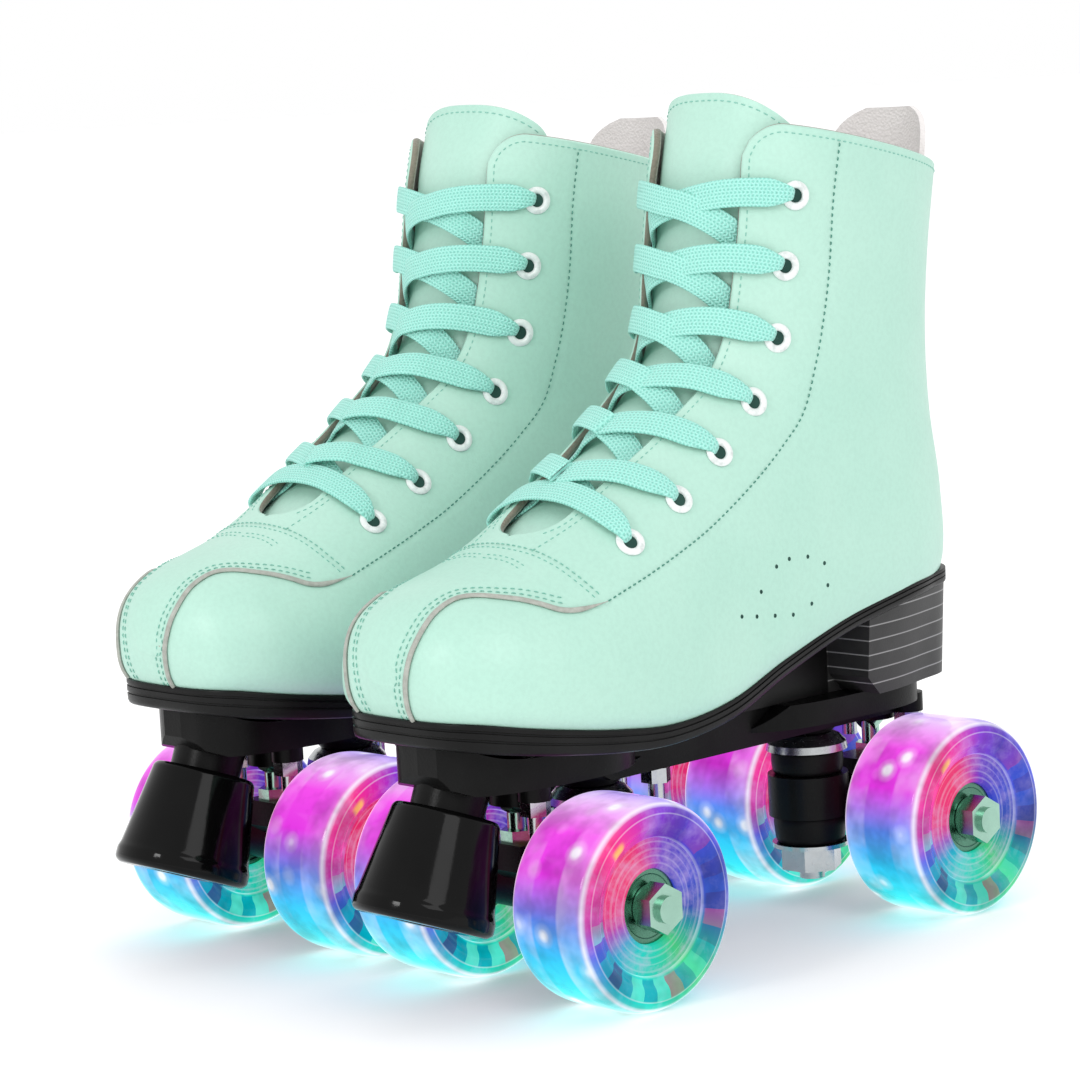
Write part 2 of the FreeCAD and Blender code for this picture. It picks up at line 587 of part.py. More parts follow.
def truck_hardware(end):
    """Axle with its outer nuts and washers, and the barrel-ended pivot pin."""
    y_axle, z_axle = end * WHEELBASE / 2, WHEEL_DIAMETER / 2
    bearing_face = TRACK / 2 + CORE_WEB / 2 + BEARING_GAP + BEARING_WIDTH
    tip = bearing_face + AXLE_WASHER + AXLE_NUT_HEIGHT + AXLE_END
    parts = [rod(AXLE_RADIUS, V(-tip, y_axle, z_axle), V(tip, y_axle, z_axle))]
    for side in (1, -1):
        seat = V(side * bearing_face, y_axle, z_axle)
        out = V(side, 0, 0)
        washer = Part.makeCylinder(AXLE_WASHER_RADIUS, AXLE_WASHER, seat, out)
        parts.append(washer.cut(Part.makeCylinder(AXLE_RADIUS, AXLE_WASHER, seat, out)))
        nut_seat = seat + out * AXLE_WASHER
        parts.append(hex_nut(AXLE_NUT_FLATS, AXLE_NUT_HEIGHT, nut_seat, out, AXLE_RADIUS))
    foot = V(0, end * PIVOT_Y, HANGER_ARM_TOP - 7)
    parts.append(rod(PIVOT_NECK, foot, V(0, end * PIVOT_Y, PIVOT_Z)).fuse(pivot_barrel(end)))
    parts.append(hex_nut(9.0, 3.5, V(0, end * PIVOT_Y, HANGER_ARM_TOP), Z_AXIS, PIVOT_NECK))
    return Part.makeCompound(parts)


def wheel_base(end, side):
    """Middle of a wheel."""
    return V(side * TRACK / 2, end * WHEELBASE / 2, WHEEL_DIAMETER / 2)


def bearings(end):
    """The two bearings of each wheel, whose inner rings are clamped on the axle."""
    parts = []
    for wheel in (-1, 1):
        for side in (-1, 1):
            out = V(side, 0, 0)
            seat = wheel_base(end, wheel) + out * (CORE_WEB / 2 + BEARING_GAP)
            body = Part.makeCylinder(BEARING_RADIUS, BEARING_WIDTH, seat, out)
            parts.append(body.cut(Part.makeCylinder(AXLE_RADIUS, BEARING_WIDTH, seat, out)))
    return Part.makeCompound(parts)


def cushions(end):
    """Upper and lower rubber cushions of the kingpin."""
    foot = V(0, end * KINGPIN_Y, 0)
    hole = KINGPIN_RADIUS + 0.3
    low, high = RING_TOP + CUSHION_GAP, CUSHION_TOP
    upper = [(hole, low), (CUSHION_RADIUS - 0.5, low), (CUSHION_RADIUS, high - CUSHION_TAPER),
             (CUSHION_RADIUS - 2.5, high), (hole, high)]
    low, high = KINGPIN_NUT[2] + LOWER_WASHER + 0.2, RING_BOTTOM - CUSHION_GAP
    lower = [(hole, low), (CUSHION_RADIUS - 0.6, low), (CUSHION_RADIUS, high), (hole, high)]
    return Part.makeCompound([turned(profile, foot, Z_AXIS) for profile in (upper, lower)])


def tyre(end, side):
    """Clear urethane tyre with rounded lips and dished faces, moulded round its core."""
    r, h = WHEEL_DIAMETER / 2, WHEEL_WIDTH / 2
    half = [(CORE_RADIUS, CORE_WIDTH / 2), (CORE_RADIUS + 1.5, CORE_WIDTH / 2 + 1.2), (r - 6.5, h),
            (r - 4, h), (r - 1.8, h - 1.2), (r - 0.7, h - 3), (r - 0.1, h - 5.5), (r, h - 8)]
    profile = half + [(a, -b) for a, b in half[::-1]]
    return turned(profile, wheel_base(end, side), X_AXIS)


def wheel_core(end, side):
    """Hard core with a bearing seat in each face."""
    seat = BEARING_RADIUS + BORE_CLEARANCE
    h, w = CORE_WIDTH / 2, CORE_WEB / 2
    half = [(7.5, w), (seat, w), (seat, h), (14.5, h + 0.6), (CORE_RADIUS, h)]
    profile = half + [(a, -b) for a, b in half[::-1]]
    return turned(profile, wheel_base(end, side), X_AXIS)


# ---- the pair -----------------------------------------------------------------------------------------
def skate_parts():
    """Every node of the left skate, in its own frame."""
    for name, panel in zip(("vamp", "quarter_outer", "quarter_inner"), upper_panels()):
        yield name, panel
    yield "tongue", tongue()
    yield "insole", insole()
    yield "heel_tab", heel_tab()
    yield "eyelets", eyelets()
    yield "laces", laces()
    yield "sole", sole()
    yield "heel_block", heel_block()
    yield "plate", plate()
    yield "mounting_bolts", mounting_bolts()
    yield "kingpins", kingpins()
    yield "toe_stop", toe_stop()
    for place, end in (("front", -1), ("rear", 1)):
        yield place + "_hanger", hanger(end)
        yield place + "_truck_hardware", truck_hardware(end)
        yield place + "_bearings", bearings(end)
        yield place + "_cushions", cushions(end)
        for hand, side in (("outer", 1), ("inner", -1)):
            yield "%s_%s_tyre" % (place, hand), tyre(end, side)
            yield "%s_%s_wheel_core" % (place, hand), wheel_core(end, side)


def main():
    os.makedirs("parts", exist_ok=True)
    move = V(SKATE_SPACING / 2, ORIGIN_Y, 0)
    for name, shape in skate_parts():
        left = shape.copy()
        left.translate(move)
        right = left.mirror(V(0, 0, 0), X_AXIS)
        for side, body in (("left", left), ("right", right)):
            body.exportStep("parts/%s_%s.step" % (side, name))
            box = body.BoundBox
            print("%-32s solids %2d volume %9.0f valid %s y %.1f..%.1f z %.1f..%.1f"
                  % (side + "_" + name, len(body.Solids), body.Volume, body.isValid(),
                     box.YMin, box.YMax, box.ZMin, box.ZMax))


main()
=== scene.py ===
"""The looks of a pair of laced quad roller skates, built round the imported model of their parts.

Shapes are drawn in millimetres in the left skate's own frame: X = 0 on its middle plane, Y = 0 half way
between the axles, Z = 0 on the floor, toes towards -Y. place() moves them to the left or right skate.
"""
import math

import bpy
import numpy as np
from mathutils import Matrix, Vector
from mathutils.bvhtree import BVHTree


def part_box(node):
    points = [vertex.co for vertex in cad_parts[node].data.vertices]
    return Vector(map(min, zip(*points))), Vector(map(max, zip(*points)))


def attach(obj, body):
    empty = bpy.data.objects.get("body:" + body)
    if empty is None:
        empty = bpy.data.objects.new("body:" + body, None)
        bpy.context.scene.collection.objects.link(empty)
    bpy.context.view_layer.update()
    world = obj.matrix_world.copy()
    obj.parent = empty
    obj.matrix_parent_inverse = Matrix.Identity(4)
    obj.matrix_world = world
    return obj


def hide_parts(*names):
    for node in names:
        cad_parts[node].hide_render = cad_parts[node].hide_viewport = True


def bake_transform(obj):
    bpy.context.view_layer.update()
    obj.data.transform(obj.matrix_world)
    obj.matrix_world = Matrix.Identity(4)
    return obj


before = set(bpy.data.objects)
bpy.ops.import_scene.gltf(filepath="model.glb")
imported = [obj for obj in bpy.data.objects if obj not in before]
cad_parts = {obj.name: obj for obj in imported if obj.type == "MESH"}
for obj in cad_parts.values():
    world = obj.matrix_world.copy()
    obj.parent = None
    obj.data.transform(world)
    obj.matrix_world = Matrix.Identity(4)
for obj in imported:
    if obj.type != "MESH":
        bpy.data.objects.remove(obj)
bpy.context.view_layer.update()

MM = 0.001
ENDS = (("front", -1), ("rear", 1))


def node_middle(node):
    low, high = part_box(node)
    return (low + high) / 2 / MM


SKATE_X = node_middle("left_toe_stop").x
SKATE_Y = (node_middle("left_front_bearings").y + node_middle("left_rear_bearings").y) / 2
AXLE_Z = node_middle("left_front_bearings").z
AXLE_Y = (node_middle("left_rear_bearings").y - node_middle("left_front_bearings").y) / 2
WHEEL_X = node_middle("left_front_outer_tyre").x - SKATE_X

# ---- boot form, the same as the solid's ---------------------------------------------------------------
# ridge y, z; floor y, z; half width; sideways offset; height of the widest point; fullness above, below
STATIONS = np.array([
    (-124, 105, -124, 99, 7, -2.0, 0.45, 2.2, 2.2),
    (-122, 112.5, -121.5, 91, 18, -2.0, 0.38, 2.3, 2.6),
    (-116, 120, -117, 86.5, 27, -2.0, 0.335, 2.4, 3.0),
    (-106, 125, -107, 83.5, 34.5, -1.5, 0.33, 2.3, 3.4),
    (-95, 128, -92, 80.5, 39.5, -1.0, 0.30, 2.2, 4.0),
    (-82, 132, -71, 77.5, 42.5, -0.5, 0.28, 2.2, 4.2),
    (-69, 139, -47, 75, 42.5, 0.0, 0.28, 2.2, 4.2),
    (-53, 150, -21, 76, 40.0, 0.8, 0.295, 2.2, 4.0),
    (-37, 161.5, 7, 83, 37.0, 1.2, 0.305, 2.2, 3.6),
    (-23, 172.5, 40, 88, 35.5, 1.0, 0.355, 2.3, 3.2),
    (-12, 184, 76, 92, 34.5, 0.6, 0.40, 2.35, 2.9),
    (-6, 196, 97, 101, 34.0, 0.3, 0.453, 2.4, 2.5),
    (-3, 208, 101, 124, 33.5, 0.0, 0.50, 2.45, 2.3),
    (0, 220, 98, 150, 33.5, 0.0, 0.52, 2.5, 2.2),
    (3, 232, 97, 176, 34.0, 0.0, 0.54, 2.5, 2.2),
    (6, 242, 99, 203, 35.0, 0.0, 0.55, 2.5, 2.2),
    (10, 251, 103, 231, 36.5, 0.0, 0.56, 2.5, 2.2),
])
COLLAR = len(STATIONS) - 1
LEATHER = 2.6
EYELETS = [(6.59, 47), (7.70, 44), (8.78, 43), (9.93, 43), (11.43, 39), (12.95, 35), (14.45, 32.4)]
FACING_EDGES = [74, 71, 67, 64, 61, 58]
SOLE_TOP_POINTS = [(-140, 90.5), (-124, 89.3), (-114, 88.6), (-105, 87), (-91, 84.6), (-71, 81.7), (-50, 80),
                   (-25, 83), (2, 90.8), (32, 98.8), (63, 104), (81, 105.4), (100, 106.6), (115, 107.2)]
SOLE_UNDER_POINTS = [(-140, 83.5), (-124, 81.8), (-114, 80.2), (-105, 78.8), (-91, 77), (-71, 74.8),
                     (-50, 74), (-25, 77), (2, 85.4), (32, 93.8), (63, 99), (81, 100.6), (115, 102.2)]
SOLE_LIP = 0.8
SOLE_LIP_BACK = 0.1
STOP_TOP, STOP_FOOT = (0, -104.9, 59.3), (0, -117.2, 28.6)
THROAT_START, THROAT_FULL = 5.62, 6.5
THROAT = np.array([(6.5, 13), (8.0, 15.6), (9.4, 18), (10.6, 18.7), (11.9, 19.8), (13.2, 20.4), (17, 20.4)])


def catmull(points, t):
    """Values on a smooth line through rows of points, at places t counted in rows."""
    points = np.asarray(points, float)
    t = np.asarray(t, float)
    last = len(points) - 1
    i = np.clip(np.floor(t).astype(int), 0, last - 1)
    f = (t - i)[..., None]
    padded = np.vstack([2 * points[0] - points[1], points, 2 * points[-1] - points[-2]])
    a, b, c, d = padded[i], padded[i + 1], padded[i + 2], padded[i + 3]
    return b + 0.5 * f * (c - a + f * (2 * a - 5 * b + 4 * c - d + f * (3 * (b - c) + d - a)))


SOLE_TOP, SOLE_UNDER = [catmull(line, np.linspace(0, len(line) - 1, 240))
                        for line in (SOLE_TOP_POINTS, SOLE_UNDER_POINTS)]


def height_on(line, y):
    """Height of the sole's upper or lower line at y."""
    return np.interp(y, line[:, 0], line[:, 1])


def smooth_path(points, count):
    """Evenly spaced points on a smooth line through a few."""
    dense = catmull(points, np.linspace(0, len(points) - 1, 40 * len(points)))
    return resample(dense, count)


def resample(line, count):
    """The same line with its points evenly spaced."""
    run = np.r_[0, np.cumsum(np.linalg.norm(np.diff(line[:, :3], axis=0), axis=1))]
    at = np.linspace(0, run[-1], count)
    return np.stack([np.interp(at, run, line[:, k]) for k in range(line.shape[1])], 1)


def length_of(line):
    return float(np.linalg.norm(np.diff(line, axis=0), axis=1).sum())


def form(s, degrees, inset=0.0):
    """Points of the boot's form: 0 degrees is the outer side, 90 the ridge, 270 the floor."""
    s, degrees = np.broadcast_arrays(np.asarray(s, float), np.asarray(degrees, float))
    row = np.moveaxis(catmull(STATIONS, s), -1, 0)
    ridge_y, ridge_z, floor_y, floor_z, half, offset, widest, n_top, n_low = row
    c, q = np.cos(np.radians(degrees)), np.sin(np.radians(degrees))
    n = np.where(q > 0, n_top, n_low)
    reach = np.abs(q) ** (2 / n)
    v = np.where(q > 0, widest + (1 - widest) * reach, widest - widest * reach)
    length = np.hypot(ridge_y - floor_y, ridge_z - floor_z)
    v = (inset + v * (length - 2 * inset)) / length
    x = np.sign(c) * np.abs(c) ** (2 / n) * (half - inset) + offset
    return np.stack([x, floor_y + (ridge_y - floor_y) * v, floor_z + (ridge_z - floor_z) * v], -1)


def unit(v):
    return v / np.maximum(np.linalg.norm(v, axis=-1, keepdims=True), 1e-9)


def form_normal(s, degrees):
    """Outward direction of the boot's form."""
    s, degrees = np.broadcast_arrays(np.asarray(s, float), np.asarray(degrees, float))
    along = form(s + 0.05, degrees) - form(s - 0.05, degrees)
    n = unit(np.cross(form(s, degrees + 1) - form(s, degrees - 1), along))
    middle = (form(s, 0) + form(s, 180)) / 2
    facing = np.sum(n * (form(s, degrees) - middle), -1, keepdims=True)
    return np.where(facing > 0, n, -n)


def edge_angle(s, half):
    """Angle round the section at which the form is half wide, on its upper side."""
    row = catmull(STATIONS, s)
    share = np.clip(half / row[..., 4], 0, 1)
    return np.degrees(np.arccos(share ** (row[..., 7] / 2)))


def throat_half(s):
    """Half width of the opening between the facings; it starts as a round slot end."""
    full = np.interp(s, THROAT[:, 0], THROAT[:, 1])
    start = np.clip((s - THROAT_START) / (THROAT_FULL - THROAT_START), 0, 1)
    return np.where(s <= THROAT_START, 0, full * np.sqrt(1 - (1 - start) ** 2))


# ---- mesh helpers -------------------------------------------------------------------------------------
def grid_faces(rows, columns, wrap=False, close=False):
    """Quads of a grid of points; wrap joins its last column to its first, close its last row."""
    i, j = np.meshgrid(np.arange(rows if close else rows - 1), np.arange(columns if wrap else columns - 1),
                       indexing="ij")
    i2, j2 = (i + 1) % rows, (j + 1) % columns
    quads = np.stack([i * columns + j, i2 * columns + j, i2 * columns + j2, i * columns + j2], -1)
    return quads.reshape(-1, 4)


def tube_faces(rows, sides):
    """Faces of a closed bar of rings of points, with both its ends."""
    ends = [list(range(sides))[::-1], [(rows - 1) * sides + k for k in range(sides)]]
    return grid_faces(rows, sides, wrap=True).tolist() + ends


def superellipse(sides, power):
    """Across and up places of the points of a superellipse of half width and half height 1."""
    angle = 2 * np.pi * np.arange(sides) / sides
    return [np.sign(wave) * np.abs(wave) ** (2 / power) for wave in (np.cos(angle), np.sin(angle))]


def joined(parts):
    """One set of points and faces from several."""
    points, faces, at = [], [], 0
    for p, f in parts:
        points.append(np.asarray(p, float).reshape(-1, 3))
        faces += [[i + at for i in face] for face in (f.tolist() if isinstance(f, np.ndarray) else f)]
        at += len(points[-1])
    return np.vstack(points), faces


def slab(front, back, rim_rows):
    """A sheet from grids of its front and back, with a rim between them; the front's faces come first."""
    sheet = grid_faces(*front.shape[:2])
    border = [np.vstack([p[:, 0][::-1], p[0, 1:-1], p[:, -1], p[-1, 1:-1][::-1]]) for p in (front, back)]
    rim = np.stack([border[0] * (1 - k) + border[1] * k for k in np.linspace(0, 1, rim_rows)], 1)
    return joined([(front, sheet), (back, sheet[:, ::-1]), (rim, grid_faces(len(rim), rim_rows, close=True))])


def swept(path, ups, half_width, half_height, sides=10, power=2.0):
    """A closed band along a path. ups are the outward directions, and the section is a superellipse."""
    path = np.asarray(path, float)
    count = len(path)
    ahead = unit(np.gradient(path, axis=0))
    across = unit(np.cross(ups, ahead))
    up = unit(np.cross(ahead, across))
    c, q = superellipse(sides, power)
    w = np.broadcast_to(half_width, (count,))[:, None, None]
    h = np.broadcast_to(half_height, (count,))[:, None, None]
    rings = path[:, None] + across[:, None] * (c[None, :, None] * w) + up[:, None] * (q[None, :, None] * h)
    return rings.reshape(-1, 3), tube_faces(count, sides)


def turned(profile, centre, axis, segments=64):
    """A closed profile of (radius, height) points turned about axis through centre."""
    axis = unit(np.asarray(axis, float))
    side = unit(np.cross(axis, (0, 1, 0.31)))
    other = np.cross(axis, side)
    angle = 2 * np.pi * np.arange(segments) / segments
    spoke = np.cos(angle)[:, None] * side + np.sin(angle)[:, None] * other
    profile = np.asarray(profile, float)
    points = np.asarray(centre) + profile[:, None, :1] * spoke[None] + profile[:, None, 1:] * axis
    return points.reshape(-1, 3), grid_faces(len(profile), segments, wrap=True, close=True)


def rounded(profile, radius, steps=3):
    """A closed profile with its corners rounded."""
    profile = np.asarray(profile, float)
    out = []
    for k, corner in enumerate(profile):
        before, after = profile[k - 1], profile[(k + 1) % len(profile)]
        r = min(radius, np.linalg.norm(before - corner) * 0.4, np.linalg.norm(after - corner) * 0.4)
        a, b = corner + unit(before - corner) * r, corner + unit(after - corner) * r
        for t in np.linspace(0, 1, steps):
            out.append((1 - t) ** 2 * a + 2 * t * (1 - t) * corner + t ** 2 * b)
    return np.array(out)


def place(name, side, points, faces, materials, slot, replaces=(), body="skate", attributes=None,
          face_materials=None, sharp=40):
    """Makes a piece of the left or right skate from points in the left skate's frame."""
    sign = 1 if side == "left" else -1
    points = (np.asarray(points, float).reshape(-1, 3) + (SKATE_X, SKATE_Y, 0)) * MM
    points[:, 0] *= sign
    faces = faces.tolist() if isinstance(faces, np.ndarray) else faces
    if sign < 0:
        faces = [face[::-1] for face in faces]
    mesh = bpy.data.meshes.new(name)
    mesh.from_pydata(points.tolist(), [], faces)
    for key, values in (attributes or {}).items():
        layer = mesh.attributes.new(key, "FLOAT_VECTOR", "POINT")
        layer.data.foreach_set("vector", np.asarray(values, np.float32).ravel())
    for material in materials if isinstance(materials, (list, tuple)) else [materials]:
        mesh.materials.append(material)
    if face_materials is not None:
        mesh.polygons.foreach_set("material_index", np.asarray(face_materials, np.int32))
    obj = bpy.data.objects.new("%s_%s" % (side, name), mesh)
    bpy.context.scene.collection.objects.link(obj)
    mesh.polygons.foreach_set("use_smooth", [True] * len(mesh.polygons))
    mesh.set_sharp_from_angle(angle=math.radians(sharp))
    mesh.update()
    if body:
        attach(obj, "%s_%s" % (side, body))
    if replaces:
        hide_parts(*["%s_%s" % (side, node) for node in replaces])
    return obj


# ---- material helpers ---------------------------------------------------------------------------------
class Graph:
    """A material whose nodes are added in short calls."""

    def __init__(self, name):
        self.material = bpy.data.materials.new(name)
        self.material.use_nodes = True
        self.tree = self.material.node_tree
        self.shader = self.tree.nodes["Principled BSDF"]
        self.where = self.add("TexCoord").outputs["Object"]

    def put(self, node, key, value):
        socket = node.inputs[key]
        if isinstance(value, bpy.types.NodeSocket):
            self.tree.links.new(value, socket)
        elif socket.type == "RGBA" and len(value) == 3:
            socket.default_value = (*value, 1)
        else:
            socket.default_value = value

    def add(self, kind, inputs=None, **settings):
        node = self.tree.nodes.new("ShaderNode" + kind)
        for key, value in settings.items():
            setattr(node, key, value)
        for key, value in (inputs or {}).items():
            self.put(node, key, value)
        return node

    def surface(self, **values):
        for key, value in values.items():
            self.put(self.shader, key.replace("_", " "), value)

    def math(self, operation, a, b=0.0, c=0.0, clamp=False):
        node = self.add("Math", {0: a, 1: b, 2: c}, operation=operation, use_clamp=clamp)
        return node.outputs[0]

    def times(self, a, b):
        return self.math("MULTIPLY", a, b)

    def noise(self, scale, detail, roughness=0.55, vector=None):
        inputs = {"Vector": vector or self.where, "Scale": scale, "Detail": detail, "Roughness": roughness}
        return self.add("TexNoise", inputs).outputs["Fac"]

    def ramp(self, fac, stops, mode="LINEAR"):
        node = self.add("ValToRGB", {"Fac": fac})
        node.color_ramp.interpolation = mode
        while len(node.color_ramp.elements) < len(stops):
            node.color_ramp.elements.new(0.5)
        for element, (position, colour) in zip(node.color_ramp.elements, stops):
            element.position = position
            element.color = (*colour, 1) if isinstance(colour, tuple) else (colour, colour, colour, 1)
        return node.outputs["Color"]

    def between(self, fac, low, high, start=0.3, end=0.7):
        return self.ramp(fac, [(start, low), (end, high)])

    def mix(self, fac, a, b, blend="MIX"):
        node = self.add("Mix", data_type="RGBA", blend_type=blend)
        self.put(node, 0, fac)
        self.put(node, 6, a)
        self.put(node, 7, b)
        return node.outputs[2]

    def bump(self, height, strength, distance, normal=None):
        node = self.add("Bump", {"Height": height, "Strength": strength, "Distance": distance})
        if normal is not None:
            self.put(node, "Normal", normal)
        return node.outputs["Normal"]

    def attribute(self, name):
        return self.add("Attribute", attribute_name=name).outputs["Vector"]

    def split(self, vector):
        return self.add("SeparateXYZ", {0: vector}).outputs


def leather_material():
    g = Graph("mint_leather")
    tone = g.noise(14, 3)
    colour = g.between(tone, (0.390, 0.645, 0.540), (0.445, 0.690, 0.585))
    grain = g.add("TexVoronoi", {"Vector": g.where, "Scale": 1500.0}, feature="SMOOTH_F1").outputs["Distance"]
    pores = g.noise(3800, 2)
    creases = g.noise(95, 5, 0.62)
    normal = g.bump(grain, 0.10, 0.0004)
    normal = g.bump(pores, 0.08, 0.0003, normal)
    normal = g.bump(creases, 0.12, 0.0016, normal)
    speck = g.ramp(g.noise(700, 2), [(0.35, 0.96), (0.6, 1.0)])
    g.surface(Base_Color=g.mix(1.0, colour, speck, "MULTIPLY"), Normal=normal,
              Roughness=g.between(creases, 0.40, 0.50))
    g.surface(Coat_Weight=0.12, Coat_Roughness=0.35, Specular_IOR_Level=0.5)
    return g.material


def cord_material(name, dark, light, scale=2600, detail=2, roughness=0.7, strength=0.5, depth=0.0002):
    """Twisted thread or smooth piping, mottled at one scale."""
    g = Graph(name)
    twist = g.noise(scale, detail)
    g.surface(Base_Color=g.between(twist, dark, light), Roughness=roughness,
              Normal=g.bump(twist, strength, depth))
    return g.material


def lining_material(name, dark, light):
    g = Graph(name)
    knit = g.add("TexVoronoi", {"Vector": g.where, "Scale": 1100.0}).outputs["Distance"]
    tone = g.noise(60, 4)
    fuzz = g.noise(2400, 2)
    g.surface(Base_Color=g.mix(0.35, g.between(tone, dark, light), g.between(knit, light, dark, 0.1, 0.8)),
              Roughness=0.85, Normal=g.bump(fuzz, 0.35, 0.0003, g.bump(knit, 0.5, 0.0004)))
    g.surface(Sheen_Weight=0.3, Sheen_Roughness=0.5)
    return g.material


def braid_material():
    """Flat braid: columns of slanted stitches whose slant turns at each column."""
    g = Graph("lace_braid")
    along, across, _ = g.split(g.attribute("braid"))
    slant = g.math("PINGPONG", across, 1.05)
    stitches = g.math("SINE", g.times(g.math("ADD", along, g.times(slant, 0.9)), 5.2))
    columns = g.math("COSINE", g.times(across, 2 * math.pi / 1.05))
    height = g.math("ADD", g.times(stitches, 0.5), g.times(columns, -0.5))
    weave = g.math("MULTIPLY_ADD", height, 0.5, 0.5, clamp=True)
    fibre = g.noise(2600, 2)
    # colour follows the weave's height: darker in the grooves between the stitches, which is painted shade
    colour = g.ramp(weave, [(0.0, (0.155, 0.490, 0.415)), (0.45, (0.345, 0.760, 0.670)),
                            (1.0, (0.440, 0.840, 0.760))])
    strands = g.between(fibre, (0.20, 0.62, 0.50), (0.40, 0.86, 0.74))
    g.surface(Base_Color=g.mix(0.25, colour, strands), Roughness=0.72,
              Normal=g.bump(fibre, 0.2, 0.0002, g.bump(weave, 0.8, 0.0005)))
    g.surface(Sheen_Weight=0.25, Sheen_Roughness=0.4)
    return g.material


def enamel_material():
    g = Graph("white_enamel")
    wear = g.noise(420, 4)
    g.surface(Base_Color=g.between(wear, (0.58, 0.62, 0.61), (0.76, 0.79, 0.78), 0.32, 0.5),
              Roughness=g.between(wear, 0.4, 0.22), Normal=g.bump(wear, 0.1, 0.0002))
    g.surface(Coat_Weight=0.5, Coat_Roughness=0.12)
    return g.material


def moulded_material(name, dark, light, roughness, grain=1800.0, specular=0.3, strength=0.18):
    """Moulded rubber or plastic with a fine spark-eroded grain and rubbed patches."""
    g = Graph(name)
    patches = g.noise(38, 4)
    texture = g.noise(grain, 3)
    g.surface(Base_Color=g.between(patches, dark, light, 0.35),
              Roughness=g.between(patches, roughness + 0.06, roughness - 0.05),
              Normal=g.bump(texture, strength, 0.0003))
    g.surface(Specular_IOR_Level=specular)
    return g.material


def heel_material():
    """Stacked heel: thin pale lines between its layers."""
    g = Graph("heel_stack")
    height = g.split(g.where)[2]
    layer = g.math("FRACT", g.math("DIVIDE", g.math("SUBTRACT", height, 0.0709), 0.0046))
    line = g.ramp(layer, [(0.0, 1), (0.07, 1), (0.10, 0), (1.0, 0)])
    stack = g.math("GREATER_THAN", g.split(g.where)[1], (SKATE_Y + 43.5) * MM)
    line = g.times(line, stack)
    patches = g.noise(60, 4)
    dark = g.between(patches, 0.022, 0.036)
    dark = g.mix(stack, (0.003, 0.003, 0.003), dark)
    g.surface(Base_Color=g.mix(g.times(line, 0.8), dark, (0.30, 0.30, 0.30)), Roughness=0.42,
              Normal=g.bump(line, -0.4, 0.0004, g.bump(g.noise(1800, 3), 0.15, 0.0003)))
    g.surface(Specular_IOR_Level=0.22)
    return g.material


def metal_material(name, colour, roughness, stretch=1.0):
    g = Graph(name)
    mapping = g.add("Mapping", {"Vector": g.where, "Scale": (1.0, stretch, 1.0)})
    scratches = g.noise(900, 4, vector=mapping.outputs[0])
    stains = g.noise(70, 4)
    tint = g.ramp(stains, [(0.3, tuple(c * 0.82 for c in colour)), (0.65, colour)])
    g.surface(Base_Color=tint, Metallic=1.0, Normal=g.bump(scratches, 0.08, 0.0002),
              Roughness=g.between(scratches, roughness + 0.10, roughness))
    return g.material


WHEEL_RADIUS, WHEEL_HALF_WIDTH = 31.0, 15.5
# colours of the lights round a wheel, from the front of the wheel over its bottom and back up to the front
LIGHTS = [(0.00, (0.55, 0.03, 0.38)), (0.05, (0.10, 0.12, 0.72)), (0.11, (0.01, 0.42, 0.62)),
          (0.18, (0.00, 0.68, 0.60)), (0.26, (0.01, 0.66, 0.46)), (0.34, (0.05, 0.60, 0.22)),
          (0.41, (0.01, 0.36, 0.34)), (0.47, (0.03, 0.08, 0.45)), (0.56, (0.04, 0.07, 0.62)),
          (0.66, (0.08, 0.04, 0.55)), (0.74, (0.22, 0.03, 0.60)), (0.80, (0.65, 0.02, 0.38)),
          (0.86, (0.92, 0.03, 0.24)), (0.94, (0.85, 0.03, 0.34)), (1.00, (0.55, 0.03, 0.38))]


def wheel_light(g):
    """Colour of the lights at a point of a wheel, and its radius, turn (0 to 1) and axial place in mm."""
    radius_axial = g.split(g.attribute("hub"))
    spoke = g.split(g.attribute("spoke"))
    turn = g.math("ADD", g.math("DIVIDE", g.math("ARCTAN2", spoke[2], spoke[1]), 2 * math.pi), 0.5)
    return g.ramp(turn, LIGHTS), radius_axial[0], turn, radius_axial[1]


def blocks(g, turn, count, seed):
    """A random value for each of count blocks round the wheel."""
    block = g.math("FLOOR", g.times(turn, float(count)))
    return g.add("TexWhiteNoise", {"W": g.math("ADD", block, seed)}, noise_dimensions="1D").outputs["Value"]


def radial(g, radius, stops):
    """Values by the distance from the wheel's middle, as a share of its radius."""
    return g.ramp(g.math("DIVIDE", radius, WHEEL_RADIUS), stops)


